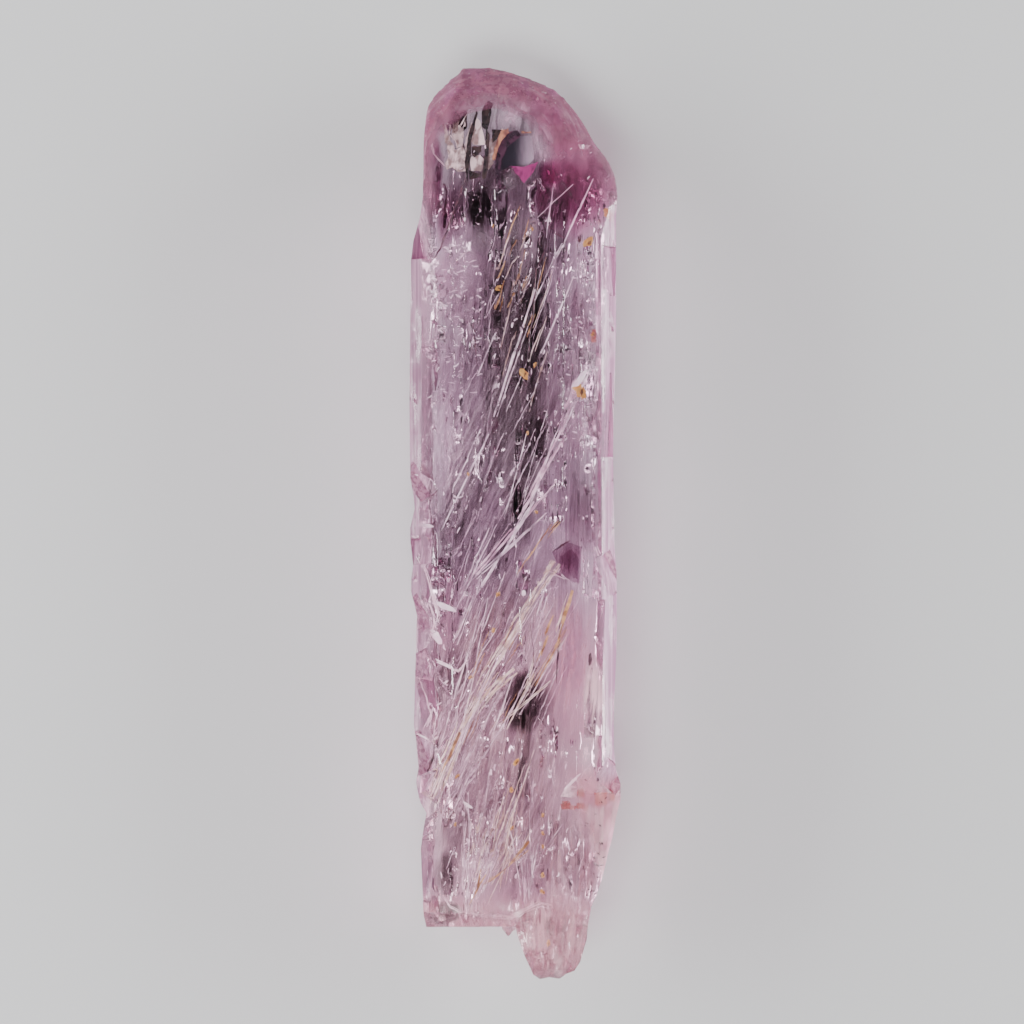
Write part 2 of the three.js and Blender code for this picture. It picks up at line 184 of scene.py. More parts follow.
def etched_crystal(source):
    mesh = bmesh.new()
    mesh.from_mesh(source)
    bmesh.ops.remove_doubles(mesh, verts=mesh.verts, dist=1e-7)
    bmesh.ops.dissolve_limit(mesh, angle_limit=math.radians(0.05), verts=mesh.verts, edges=mesh.edges)
    cut_cells(mesh, 0, COLUMN)
    cut_cells(mesh, 1, ROW)
    cut_cells(mesh, 2, LAYER, CROWN_START)
    bmesh.ops.triangulate(mesh, faces=mesh.faces)
    mesh.normal_update()
    steps = [v for v in mesh.verts if abs(v.normal.z) > 0.55 and abs(v.co.x) < 10.4 * MM]
    for _ in range(STEP_WEAR):
        bmesh.ops.smooth_vert(mesh, verts=steps, factor=0.5, use_axis_z=True)
    worn = set(steps)
    short = [e.verts[:] for e in mesh.edges if e.calc_length() < SLIVER and worn.issuperset(e.verts)]
    for _ in range(4):
        for a, b in short:
            a.co.z = b.co.z = (a.co.z + b.co.z) / 2
    rounded = [v for v in mesh.verts if v.co.y > CROWN_START]
    tip = max(v.co.y for v in rounded)
    wear_down(rounded, CROWN_WEAR)
    stretch = (tip - CROWN_START) / (max(v.co.y for v in rounded) - CROWN_START)
    for v in rounded:
        v.co.y = CROWN_START + (v.co.y - CROWN_START) * stretch
    mesh.normal_update()
    side = min(v.co.x for v in mesh.verts)
    for v in mesh.verts:
        column = round((v.co.x - side) / COLUMN)
        v.co -= v.normal * etched(v.co, v.normal, column) * MM
        v.co.z = max(v.co.z, 0)
    data = bpy.data.meshes.new("crystal_body")
    mesh.to_mesh(data)
    mesh.free()
    data.shade_smooth()
    data.set_sharp_from_angle(angle=math.radians(14))
    return data


class Socket:
    """An output in a material's node tree. Arithmetic on it adds Math nodes."""

    def __init__(self, tree, out=None):
        self.tree = tree
        self.out = out

    def node(self, kind, settings, sockets, output=0):
        """Adds a node: first its settings, then the values or links of its sockets."""
        node = self.tree.nodes.new(kind)
        for name, value in settings.items():
            setattr(node, name, value)
        for name, value in sockets.items():
            if isinstance(value, Socket):
                self.tree.links.new(value.out, node.inputs[name])
            else:
                node.inputs[name].default_value = value
        return Socket(self.tree, node.outputs[output] if node.outputs else None)

    def math(self, operation, *values):
        return self.node("ShaderNodeMath", {"operation": operation}, dict(enumerate(values)))

    def __add__(self, other):
        return self.math("ADD", self, other)

    def __sub__(self, other):
        return self.math("SUBTRACT", self, other)

    def __rsub__(self, other):
        return self.math("SUBTRACT", other, self)

    def __mul__(self, other):
        return self.math("MULTIPLY", self, other)

    def __truediv__(self, other):
        return self.math("DIVIDE", self, other)

    def __rtruediv__(self, other):
        return self.math("DIVIDE", other, self)

    def __pow__(self, other):
        return self.math("POWER", self, other)

    def __rpow__(self, other):
        return self.math("POWER", other, self)

    def __abs__(self):
        return self.math("ABSOLUTE", self)

    __radd__ = __add__
    __rmul__ = __mul__

    def rise(self, low, high):
        """0 below low, 1 above high, and a smooth step between them."""
        span = {"From Min": low, "From Max": high}
        return self.node("ShaderNodeMapRange", {"interpolation_type": "SMOOTHSTEP"}, {"Value": self, **span})

    def pick(self, off, on):
        """The colour `off` where this mask is 0, and `on` where it is 1."""
        return self.node("ShaderNodeMix", {"data_type": "RGBA"}, {0: self, 6: off, 7: on}, 2)

    def axes(self):
        """The three parts of this vector."""
        split = self.node("ShaderNodeSeparateXYZ", {}, {"Vector": self})
        return [Socket(self.tree, out) for out in split.out.node.outputs]

    def place(self):
        """Where on the crystal a shaded point lies, in metres from its middle."""
        return self.node("ShaderNodeTexCoord", {}, {}, "Object")

    def noise(self, scale, detail):
        """Even noise, 0 to 1, at this place."""
        return self.node("ShaderNodeTexNoise", {}, {"Vector": self, "Scale": scale, "Detail": detail})

    def streaks(self, across, along, seed, lean=0.0):
        """Noise, 0 to 1, at this place: so many streaks per mm across, drawn out along the crystal."""
        x, y, z = self.axes()
        spot = {0: (x - lean * y) * (across / MM), 1: y * (along / MM), 2: z * (across / MM) + seed}
        drawn = self.node("ShaderNodeCombineXYZ", {}, spot)
        return drawn.noise(1.0, 3)


def new_material(name):
    material = bpy.data.materials.new(name)
    material.use_nodes = True
    material.node_tree.nodes.clear()
    return material, Socket(material.node_tree)


def add_piece(name, data, material):
    """A piece of the crystal's looks, which goes where the crystal goes."""
    piece = bpy.data.objects.new(name, data)
    bpy.context.scene.collection.objects.link(piece)
    data.materials.clear()
    data.materials.append(material)
    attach(piece, "root")
    return piece


def oval(x, y, middle, half):
    """How far out a place lies in an oval (mm), squared: 0 in its middle and 1 on its edge."""
    across = (x - middle[0] * MM) / (half[0] * MM)
    up = (y - middle[1] * MM) / (half[1] * MM)
    return across ** 2 + up ** 2


def kunzite_colour(x, y, edge, crown, flank, foot, shoulder):
    """Lilac along the prism, warmer pink to the foot, and magenta by the right shoulder."""
    lilac = (0.81, 0.74, 0.805, 1)
    rose = (0.87, 0.75, 0.77, 1)
    grey = (0.78, 0.76, 0.77, 1)
    edge_pink = (0.76, 0.52, 0.63, 1)
    rim_pink = (0.70, 0.32, 0.48, 1)
    foot_pink = (0.88, 0.66, 0.67, 1)
    flank_pink = (0.80, 0.46, 0.52, 1)
    magenta = (0.80, 0.46, 0.64, 1)
    core = (1.1 - oval(x, y, (0.8, 20), (5.0, 24))).rise(0, 0.8)
    colour = y.rise(-4 * MM, -22 * MM).pick(lilac, rose)
    colour = core.pick(colour, grey)
    colour = edge.pick(colour, edge_pink)
    colour = crown.pick(colour, rim_pink)
    colour = foot.pick(colour, foot_pink)
    colour = flank.pick(colour, flank_pink)
    return shoulder.pick(colour, magenta)


def rim_frost(tree, place, outer, sideways, clouds, patches):
    """The frost on the rounded end: mauve with painted shade on its side slopes, clouds, swirls round the
    window, grains.
    """
    front_mauve = (0.41, 0.18, 0.26, 1)
    slope_mauve = (0.43, 0.14, 0.23, 1)
    side_shade_plum = (0.18, 0.042, 0.09, 1)
    cloud_plum = (0.21, 0.085, 0.13, 1)
    swirl_rose = (0.36, 0.19, 0.26, 1)
    patch_pink = (0.33, 0.10, 0.22, 1)
    grain_plum = (0.16, 0.05, 0.10, 1)
    speckle_rose = (0.42, 0.25, 0.32, 1)
    x, y, z = place.axes()
    across = (x - WINDOW_MIDDLE[0] * MM) / (WINDOW_HALF[0] * MM)
    up = (y - WINDOW_MIDDLE[1] * MM) / (WINDOW_HALF[1] * MM)
    turn = tree.math("ARCTAN2", up, across)
    out = oval(x, y, WINDOW_MIDDLE, WINDOW_HALF)
    around = tree.node("ShaderNodeCombineXYZ", {}, {0: turn * 2.2, 1: out * 5.0, 2: z * 300})
    swirls = around.noise(1.0, 4)
    grain = {"Vector": place, "Scale": 1000, "Detail": 4, "Roughness": 0.7}
    grains = tree.node("ShaderNodeTexNoise", {}, grain)
    speckles = place.noise(2400, 2)
    colour = outer.pick(front_mauve, slope_mauve)
    # painted shade: darker plum where the rim slopes off towards the side lamps
    colour = (sideways * outer).pick(colour, side_shade_plum)
    colour = (0.7 * clouds.rise(0.35, 0.65)).pick(colour, cloud_plum)
    colour = (0.6 * swirls.rise(0.5, 0.75)).pick(colour, swirl_rose)
    colour = (0.55 * patches.rise(0.5, 0.62)).pick(colour, patch_pink)
    colour = (0.6 * grains.rise(0.46, 0.6)).pick(colour, grain_plum)
    return speckles.rise(0.6, 0.8).pick(colour, speckle_rose)


def edge_frost(place, x, lines, sideways, endways):
    """The frost on the bevelled edges: in lines, and shell-like with painted light where an edge is chipped.
    """
    left_plum = (0.16, 0.07, 0.12, 1)
    left_mauve = (0.28, 0.145, 0.22, 1)
    right_mauve = (0.38, 0.18, 0.30, 1)
    right_lilac = (0.58, 0.33, 0.49, 1)
    front_rose = (0.42, 0.27, 0.36, 1)
    shell_mauve = (0.34, 0.18, 0.26, 1)
    shell_painted_light = (0.68, 0.46, 0.55, 1)
    left = lines.pick(left_plum, left_mauve)
    right = lines.pick(right_mauve, right_lilac)
    bevel = sideways.pick(front_rose, x.rise(-4 * MM, 4 * MM).pick(left, right))
    shells = place.streaks(2.4, 1.2, 29).rise(0.42, 0.58)
    # painted light: the chipped facets, which face away from the lamps, are coloured lighter
    return endways.rise(0.12, 0.4).pick(bevel, shells.pick(shell_mauve, shell_painted_light))


def foot_frost(lines, dashes, outer):
    """The colour of the frost on the foot and the low right flank: dashes, and darker on the slopes."""
    rose = (0.56, 0.33, 0.37, 1)
    pale_rose = (0.80, 0.54, 0.57, 1)
    slope_wine = (0.17, 0.05, 0.085, 1)
    slope_rose = (0.44, 0.20, 0.26, 1)
    slope = (0.5 * lines + 0.5 * dashes).pick(slope_wine, slope_rose)
    return outer.pick(dashes.pick(rose, pale_rose), slope)


def kunzite_material():
    material, tree = new_material("kunzite")
    place = tree.place()
    x, y = place.axes()[:2]

    # the parts of the skin, each a mask
    ragged = place.streaks(0.5, 0.12, 17)
    edge = (abs(x) + 2.4 * MM * ragged).rise(11.2 * MM, 13.6 * MM)
    crown = oval(x, y, WINDOW_MIDDLE, WINDOW_HALF).rise(0.8, 1.5) * y.rise(40 * MM, 46 * MM)
    flank = (x + 0.30 * y).rise(-4.0 * MM, -1.6 * MM) * y.rise(-31 * MM, -36 * MM)
    foot = (y.rise(-47 * MM, -52 * MM) + flank).rise(0, 1)
    shoulder = (1.35 - oval(x, y, (8.2, 43.6), (5.4, 6.4))).rise(0, 0.9)
    rusted = (1.3 - oval(x, y, (10.8, -35.9), (2.4, 1.4))).rise(0, 0.8)

    # the finish: glassy windows, etched patches, and frost on the rounded end, the low flank and the foot
    patches = place.noise(260, 3)
    roughness = 0.02 + 0.06 * patches.rise(0.5, 0.7) + 0.18 * crown + 0.12 * foot + 0.14 * flank

    # the relief too fine for the mesh: hair-fine striations along the crystal and a little frost
    striae = place.streaks(2.6, 0.09, 5)
    relief = striae * (1 - crown) * (0.3 + 0.9 * foot) + place.noise(1300, 3) * (0.08 + 1.5 * crown)
    bump = tree.node("ShaderNodeBump", {}, {"Strength": 0.35, "Distance": 0.0001, "Height": relief})

    clear = tree.node(
        "ShaderNodeBsdfPrincipled",
        {},
        {
            "Base Color": kunzite_colour(x, y, edge, crown, flank, foot, shoulder),
            "Roughness": roughness,
            "IOR": SPODUMENE_IOR,
            "Transmission Weight": 1.0,
            "Normal": bump,
        },
    )

    # where fluids frosted the skin, it scatters part of the light
    lines = place.streaks(2.2, 0.035, 13).rise(0.38, 0.62)
    dashes = place.streaks(1.8, 0.22, 23).rise(0.42, 0.58)
    clouds = place.noise(420, 4)
    facing = tree.node("ShaderNodeNewGeometry", {}, {}, "Normal").axes()
    outer = facing[2].rise(0.97, 0.72)
    sideways = abs(facing[0]).rise(0.15, 0.6)
    on_rim = rim_frost(tree, place, outer, sideways, clouds, patches)
    on_edge = edge_frost(place, x, lines, sideways, abs(facing[1]))
    on_foot = foot_frost(lines, dashes, outer)
    frosted = tree.node(
        "ShaderNodeBsdfPrincipled",
        {},
        {
            "Base Color": crown.pick(foot.pick(on_edge, on_foot), on_rim),
            "Roughness": 0.7,
            "Specular IOR Level": 0.15,
            "Normal": bump,
        },
    )

    # how much of it there is: most on the bevelled edges and the rim, and little at the rusty blocks
    bevel = facing[2].rise(0.3, 0.6)
    blotches = place.streaks(0.6, 0.16, 41).rise(0.36, 0.58)
    edge_haze = edge * (0.12 + 0.88 * bevel) * (0.5 + 0.49 * sideways) * (1 - 0.6 * flank * (1 - dashes))
    edge_haze = edge_haze * (0.6 + 0.4 * blotches)
    haze = edge_haze * (1 - crown) + crown * (0.26 + 0.24 * clouds + 0.5 * outer)
    haze = haze + (1 - edge) * foot * (0.2 + 0.3 * outer) * (0.3 + 0.7 * bevel) * (0.5 + 0.5 * dashes)
    haze = haze * (1 - 0.8 * shoulder) * (1 - 0.75 * rusted)
    skin = tree.node("ShaderNodeMixShader", {}, {0: haze, 1: clear, 2: frosted})

    # lamps light what is inside through the skin
    lamp_ray = tree.node("ShaderNodeLightPath", {}, {}, "Is Shadow Ray")
    open_skin = tree.node("ShaderNodeBsdfTransparent", {}, {"Color": LAMP_TINT})
    surface = tree.node("ShaderNodeMixShader", {}, {0: lamp_ray, 1: skin, 2: open_skin})
    depth = tree.node("ShaderNodeVolumeAbsorption", {}, {"Color": BODY_TINT, "Density": BODY_DENSITY})
    tree.node("ShaderNodeOutputMaterial", {}, {"Surface": surface, "Volume": depth})
    return material


solid = etched_crystal(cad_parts["kunzite_crystal"].data)
crystal = add_piece("crystal_body", solid, kunzite_material())
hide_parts("kunzite_crystal")

COVER = 0.45  # mm of crystal over the films and needles inside
STEPS_IN = 20  # tries on the way from a point to the middle of its piece
shell = BVHTree.FromPolygons(
    [v.co[:] for v in solid.vertices],
    [face.vertices[:] for face in solid.polygons],
)


def depth_range(x, y):
    """From the back to the front (mm) at a place, or None beside the crystal."""
    back = shell.ray_cast(Vector((x, y, -10)) * MM, Vector((0, 0, 1)))[0]
    front = shell.ray_cast(Vector((x, y, 30)) * MM, Vector((0, 0, -1)))[0]
    if back is None or front is None or front.z - back.z < 3 * COVER * MM:
        return None
    return back.z / MM + COVER, front.z / MM - COVER


def inside(point, middle):
    """Draws a point (mm) in towards the middle of its piece until it lies under the crystal's skin."""
    for step in range(STEPS_IN):
        p = point.lerp(middle, step / STEPS_IN)
        span = depth_range(p.x, p.y)
        if span:
            return Vector((p.x, p.y, min(span[1], max(span[0], p.z))))
    return middle.copy()


def under(x, y, depth):
    """The point (mm) so deep under the front."""
    span = depth_range(x, y)
    return Vector((x, y, (span[1] if span else 4) + COVER - depth))


# ================================================================ the films inside
# Cracks that healed while the crystal grew left thin films of tiny fluid drops. Dense ones look purple
# against the light, and others are pale clouds. The smoky, darkest and leaning films are painted shade:
# dark see-through sheets laid where the crystal looks dark. Each is a curved patch that thins to its edge.
FILM_RINGS = 12
FILM_SPOKES = 36


def film(mesh, centre, radii, turn, tilt, strength):
    """A curved oval patch (mm), turned in the plane of the broad face and tilted about its own length."""
    fade = mesh.verts.layers.float["fade"]
    along = Vector((-math.sin(math.radians(turn)), math.cos(math.radians(turn)), 0))
    lean = math.radians(tilt)
    across = Vector((along.y, -along.x, 0)) * math.cos(lean) + Vector((0, 0, math.sin(lean)))
    rings = []
    for i in range(FILM_RINGS + 1):
        r = i / FILM_RINGS
        ring = []
        for k in range(FILM_SPOKES if i else 1):
            a = math.tau * k / FILM_SPOKES
            p = Vector(centre) + across * (radii[0] * r * math.cos(a)) + along * (radii[1] * r * math.sin(a))
            p.z += 0.5 * noise.noise((p.x * 0.3, p.y * 0.2, centre[2]))
            v = mesh.verts.new(inside(p, Vector(centre)) * MM)
            v[fade] = strength * (1 - r * r)
            ring.append(v)
        rings.append(ring)
    for k in range(FILM_SPOKES):
        n = (k + 1) % FILM_SPOKES
        mesh.faces.new((rings[0][0], rings[1][k], rings[1][n]))
        for inner, outer in zip(rings[1:], rings[2:]):
            mesh.faces.new((inner[k], outer[k], outer[n], inner[n]))


def filled(name, material, fill, smooth=True, fades=False):
    """A piece whose mesh a function fills. One that fades keeps how strong it is at each corner."""
    mesh = bmesh.new()
    if fades:
        mesh.verts.layers.float.new("fade")
    fill(mesh)
    data = bpy.data.meshes.new(name)
    mesh.to_mesh(data)
    mesh.free()
    if smooth:
        data.shade_smooth()
    add_piece(name, data, material)


def films(name, material, patches):
    def fill(mesh):
        for patch in patches:
            film(mesh, *patch)

    filled(name, material, fill, fades=True)


def film_start(name):
    material, tree = new_material(name)
    place = tree.place()
    fade = tree.node("ShaderNodeAttribute", {"attribute_name": "fade"}, {}, "Fac")
    return material, tree, place, fade


def finish_partly(tree, share, surface):
    """Ends a material that shows this share of its surface and lets the rest of the light straight by."""
    clear = tree.node("ShaderNodeBsdfTransparent", {}, {})
    mixed = tree.node("ShaderNodeMixShader", {}, {0: share, 1: clear, 2: surface})
    tree.node("ShaderNodeOutputMaterial", {}, {"Surface": mixed})


def shading_film(name, tint, fine, along, lean, least):
    """A film that takes light away: `least` of its strength all over, and the rest in streaks."""
    material, tree, place, fade = film_start(name)
    streaks = place.streaks(fine, along, 3, lean).rise(0.44, 0.58)
    broad = place.streaks(fine * 0.35, along * 0.5, 9, lean).rise(0.4, 0.6)
    shade = tree.node("ShaderNodeBsdfTransparent", {}, {"Color": tint})
    share = fade.rise(0, 0.6) * (least + (1 - least) * (0.6 * streaks + 0.4 * broad))
    finish_partly(tree, share, shade)
    return material


def cloudy_film(name, colour, fine, along, lean, most, least=0.0):
    """A film that scatters light: streaks or puffs of a colour, with `least` of it there all over."""
    material, tree, place, fade = film_start(name)
    puffs = place.streaks(fine, along, 5, lean).rise(0.42, 0.66)
    cloud = tree.node("ShaderNodeBsdfPrincipled", {}, {"Base Color": colour, "Roughness": 0.45})
    finish_partly(tree, fade * (least + (1 - least) * puffs) * most, cloud)
    return material


# Each film below: its centre and half widths (mm), its turn and its tilt (degrees), and its strength.
# These are fine wisps that follow the needles.
WISPS = [
    ((-2.0, -34.0, 10.8), (10.0, 17.0), -12, 0, 0.7),
    ((-4.0, -8.0, 10.8), (8.0, 18.0), -12, 0, 0.7),
    ((-4.0, 24.0, 10.8), (8.0, 16.0), -8, 0, 0.6),
    ((5.0, 26.0, 10.0), (6.6, 16.0), 0, 0, 0.6),
]
material = shading_film("wispy_film", (0.64, 0.61, 0.63, 1), fine=3.4, along=0.34, lean=0.2, least=0.0)
films("wispy_films", material, WISPS)

# Fine growth lines.
GROWTH_LINES = [
    ((7.0, 8.0, 10.6), (5.0, 34.0), 0, 0, 0.8),
    ((6.6, -48.0, 9.6), (4.6, 12.0), 0, 0, 0.9),
    ((-9.0, 0.0, 10.4), (3.4, 44.0), 0, 0, 0.7),
]
material = shading_film("growth_line", (0.70, 0.64, 0.68, 1), fine=3.4, along=0.12, lean=0.0, least=0.0)
films("growth_lines", material, GROWTH_LINES)

# Smoky ones, painted shade: they make the dark core down the middle, and veil the places beside it.
SMOKY_SHADE = [
    ((-0.6, 16.0, 2.8), (13.0, 38.0), 0, 0, 0.2),
    ((-4.0, 41.6, 6.5), (8.6, 8.4), 0, 0, 0.5),
    ((0.0, 48.6, 4.5), (12.0, 11.0), 0, 0, 0.55),
    ((-8.8, 42.4, 7.0), (3.4, 6.0), 0, 0, 0.4),
    ((-1.6, 22.0, 5.0), (6.4, 22.0), -3, 12, 0.75),
    ((2.4, 26.0, 4.0), (2.4, 12.0), -4, -20, 0.7),
    ((-4.5, 41.0, 5.0), (2.8, 4.0), 0, 20, 1.0),
    ((2.4, 12.0, 4.5), (2.2, 8.0), -4, 15, 0.6),
    ((0.4, 1.0, 4.0), (2.4, 6.0), -6, -20, 0.7),
    ((-2.4, -4.0, 4.0), (2.0, 5.0), -10, -20, 0.6),
    ((1.4, -23.8, 4.0), (4.2, 4.4), -4, 10, 1.0),
    ((1.2, -29.0, 4.0), (1.4, 5.0), -6, 15, 0.7),
    ((-7.6, -40.6, 4.5), (2.6, 6.2), -8, -15, 0.4),
    ((-8.6, -45.8, 5.0), (2.2, 3.4), -8, 5, 0.7),
    ((-8.6, -50.6, 8.0), (2.0, 1.2), 0, 0, 0.9),
    ((0.6, -33.6, 5.0), (2.0, 4.0), -6, 20, 0.6),
    ((-7.6, 0.0, 4.5), (4.0, 14.0), -10, 10, 0.6),
    ((-8.0, -21.0, 4.5), (2.6, 6.0), -14, -12, 0.7),
    ((-7.4, 26.0, 4.5), (4.0, 10.0), -4, -12, 0.2),
    ((8.2, 4.0, 5.0), (3.6, 9.0), 4, -14, 0.42),
    ((8.2, 22.0, 5.0), (3.4, 10.0), 4, -14, 0.35),
    ((4.6, 38.0, 5.0), (2.6, 7.0), -6, 12, 0.8),
    ((5.6, -42.0, 5.0), (3.0, 7.0), -6, 8, 0.4),
    ((1.0, -46.6, 8.0), (5.0, 4.0), 0, 0, 0.4),
    ((8.4, 41.6, 6.0), (4.4, 4.6), 0, 0, 0.36),
]
material = shading_film("smoky_shade_film", (0.24, 0.24, 0.235, 1), fine=2.4, along=0.14, lean=0.12, least=0.3)
films("smoky_shade_films", material, SMOKY_SHADE)

# The darkest windows, painted shade: films of nearly black.
DEEP_SHADE = [
    ((-9.3, -46.4, 7.5), (1.8, 3.4), -8, 0, 0.4),
    ((-9.0, -50.3, 8.0), (2.2, 1.0), 0, 0, 0.8),
    ((2.3, 25.6, 6.0), (1.3, 7.6), -2, 0, 1.0),
    ((-4.5, 41.2, 6.0), (2.2, 3.4), 0, 0, 0.9),
    ((3.3, 11.0, 6.0), (1.2, 3.4), 0, 0, 0.9),
    ((0.4, 2.2, 6.0), (1.3, 2.4), -10, 0, 0.9),
    ((1.5, 7.0, 6.0), (1.0, 1.4), -10, 0, 0.9),
    ((0.9, -23.4, 9.6), (3.0, 5.0), -6, 0, 0.9),
]
material = shading_film("deep_shade_film", (0.07, 0.055, 0.05, 1), fine=2.2, along=0.12, lean=0.05, least=0.35)
films("deep_shade_films", material, DEEP_SHADE)

# Thin, dark gaps between the needles of the sprays, which lean as they do: painted shade.
LEANING_SHADE = [
    ((-3.0, -14.0, 9.5), (6.0, 17.0), -26, 0, 0.4),
    ((-6.0, -30.0, 9.5), (5.0, 13.0), -22, 0, 0.32),
    ((-1.0, -40.0, 9.5), (8.0, 10.0), -14, 0, 0.38),
    ((-1.0, 8.0, 9.5), (9.0, 22.0), -24, 0, 0.45),
    ((-3.0, -34.0, 6.0), (8.0, 14.0), -20, 0, 0.28),
    ((0.0, 26.0, 9.5), (5.0, 13.0), -20, 0, 0.4),
]
material = shading_film("leaning_shade_film", (0.34, 0.31, 0.31, 1), fine=2.8, along=0.07, lean=0.46, least=0.0)
films("leaning_shade_films", material, LEANING_SHADE)

# Purple ones, by the shoulder and the long edges.
PURPLE = [
    ((11.0, 14.2, 7.0), (1.2, 4.2), -12, 10, 1.0),
    ((9.0, 0.5, 6.0), (3.4, 6.0), 0, -10, 0.35),
    ((8.6, 27.0, 9.0), (1.8, 6.0), 6, 0, 0.35),
    ((3.4, 42.6, 8.0), (0.8, 2.6), 0, 0, 1.0),
    ((8.2, 43.4, 7.0), (4.8, 5.4), 30, -10, 0.6),
    ((6.8, -5.0, 9.4), (2.1, 3.2), -16, 0, 0.48),
    ((7.0, -45.0, 6.0), (3.6, 5.0), 0, 0, 0.2),
    ((11.7, -36.0, 6.0), (2.2, 3.4), 0, 0, 0.35),
    ((-10.6, 45.0, 7.0), (1.4, 6.0), -4, 0, 0.9),
    ((-8.6, 40.0, 6.0), (1.6, 5.0), -12, 0, 0.6),
    ((9.6, -43.0, 7.0), (2.4, 8.0), -16, 0, 0.3),
    ((4.6, -54.0, 7.0), (3.0, 5.0), 0, 0, 0.4),
]
material = shading_film("purple_film", (0.36, 0.12, 0.24, 1), fine=1.8, along=0.2, lean=0.1, least=0.6)
films("purple_films", material, PURPLE)

# Pale clouds under the front.
CLOUDS = [
    ((1.4, -46.8, 8.0), (4.4, 3.4), 0, 0, 0.15),
    ((-4.0, 12.0, 8.0), (5.0, 20.0), -20, 6, 0.4),
    ((-8.0, 28.0, 8.0), (4.4, 12.0), 0, -16, 0.4),
    ((-8.6, 8.0, 7.5), (4.2, 14.0), -6, 14, 0.6),
    ((8.6, 20.0, 7.5), (3.6, 16.0), 0, 16, 0.7),
]
material = cloudy_film("cloudy_film", (0.92, 0.82, 0.87, 1), fine=2.6, along=0.10, lean=0.4, most=0.6)
films("cloudy_films", material, CLOUDS)

# Milky ones, in the tongue, the low right side and the plateau.
MILKY = [
    ((4.8, -54.4, 7.4), (3.9, 5.6), 0, 0, 1.0),
    ((7.6, -44.0, 8.6), (3.4, 8.0), -12, 0, 0.6),
    ((-5.4, -42.0, 8.0), (5.0, 9.0), 0, 0, 0.4),
    ((-2.0, -29.0, 8.0), (7.0, 6.0), -20, 0, 0.75),
    ((10.3, -23.6, 10.4), (1.6, 6.5), 0, 0, 1.5),
]
material = cloudy_film("milky_film", (0.84, 0.68, 0.69, 1), fine=1.6, along=0.12, lean=0.1, most=0.8)
films("milky_films", material, MILKY)

# Rosy ones, where the crystal is warmest.
ROSY = [
    ((7.4, -18.0, 5.0), (4.0, 11.0), 0, 0, 0.7),
    ((0.0, -37.0, 7.0), (8.0, 12.0), -6, 10, 0.6),
    ((-4.0, -18.0, 6.5), (5.0, 14.0), -24, -12, 0.5),
    ((4.8, -53.0, 7.0), (4.0, 6.0), 0, 0, 1.0),
    ((-1.3, -52.8, 6.0), (0.9, 1.6), 0, 0, 1.0),
    ((10.6, -42.0, 7.0), (2.4, 7.0), -16, 0, 0.7),
    ((6.4, -46.0, 6.0), (4.0, 7.0), -6, 0, 0.7),
    ((-4.4, -13.6, 10.4), (2.2, 5.4), -28, 0, 0.6),
    ((3.6, -13.0, 10.2), (2.6, 6.6), -14, 0, 0.6),
]
material = cloudy_film("rosy_film", (0.80, 0.58, 0.60, 1), fine=2.6, along=0.12, lean=0.15, most=0.8)
films("rosy_films", material, ROSY)

# ================================================================ the hollow needles
# Etching ran down faults in the crystal and left hollow tubes as thin as hairs, straight, in sprays that
# lean to the right. Empty ones look silvery or cream, and some are stained gold with iron oxide.
draw = random.Random(1879)
TUBE_SIDES = 5
NEEDLE_STEP = 1.6  # mm between its rings
NEEDLE_SHAKE = 0.04  # mm off the straight line


def tube(mesh, route, widths):
    """A thin closed tube along a route, thick as its list of widths says (all in mm)."""
    rings = []
    for i, (centre, width) in enumerate(zip(route, widths)):
        ahead = route[min(i + 1, len(route) - 1)] - route[max(i - 1, 0)]
        side = ahead.cross(Vector((0, 0, 1))).normalized()
        other = side.cross(ahead).normalized()
        ring = []
        for k in range(TUBE_SIDES):
            turn = math.tau * k / TUBE_SIDES
            offset = (side * math.cos(turn) + other * math.sin(turn)) * width / 2
            ring.append(mesh.verts.new((centre + offset) * MM))
        rings.append(ring)
    for a, b in zip(rings, rings[1:]):
        for k in range(TUBE_SIDES):
            n = (k + 1) % TUBE_SIDES
            mesh.faces.new((a[k], a[n], b[n], b[k]))
    mesh.faces.new(rings[0][::-1])
    mesh.faces.new(rings[-1])


def needle(mesh, start, angle, length, width, rise=0.0):
    """One straight needle from its lower end, at so many degrees from +X, with small uneven swellings."""
    way = Vector((math.cos(math.radians(angle)), math.sin(math.radians(angle)), rise))
    steps = max(4, int(length / NEEDLE_STEP))
    middle = start + way * length / 2
    route = []
    widths = []
    for i in range(steps + 1):
        t = i / steps
        shake = Vector((draw.uniform(-1, 1), 0, draw.uniform(-1, 1))) * NEEDLE_SHAKE
        route.append(inside(start + way * length * t + shake, middle))
        swell = 0.25 + 0.75 * math.sin(math.pi * (0.06 + 0.88 * t)) ** 0.5
        widths.append(width * swell * draw.uniform(0.6, 1.25))
    tube(mesh, route, widths)


def spray(mesh, count, corner, far_corner, angles, lengths, widths, depths):
    """Needles whose lower ends lie in a box (mm)."""
    for _ in range(count):
        x = draw.uniform(corner[0], far_corner[0])
        y = draw.uniform(corner[1], far_corner[1])
        start = Vector((x, y, draw.uniform(*depths)))
        angle, length, width = draw.uniform(*angles), draw.uniform(*lengths), draw.uniform(*widths)
        needle(mesh, start, angle, length, width, draw.uniform(-0.12, 0.12))


def bundle(mesh, route, count, spread, lengths, widths, depth):
    """Needles side by side along a broken line (mm), within half the spread of it."""
    for _ in range(count):
        i = draw.randrange(len(route) - 1)
        a, b = Vector((*route[i], depth)), Vector((*route[i + 1], depth))
        start = a.lerp(b, draw.random())
        way = b - a
        offset = Vector((-way.y, way.x, 0)).normalized() * draw.uniform(-0.5, 0.5) * spread
        offset.z = draw.uniform(-0.5, 0.5) * spread
        angle = math.degrees(math.atan2(way.y, way.x)) + draw.uniform(-2.5, 2.5)
        length = min(draw.uniform(*lengths), (Vector((*route[-1], depth)) - start).length + 1.5)
        needle(mesh, start + offset, angle, length, draw.uniform(*widths))


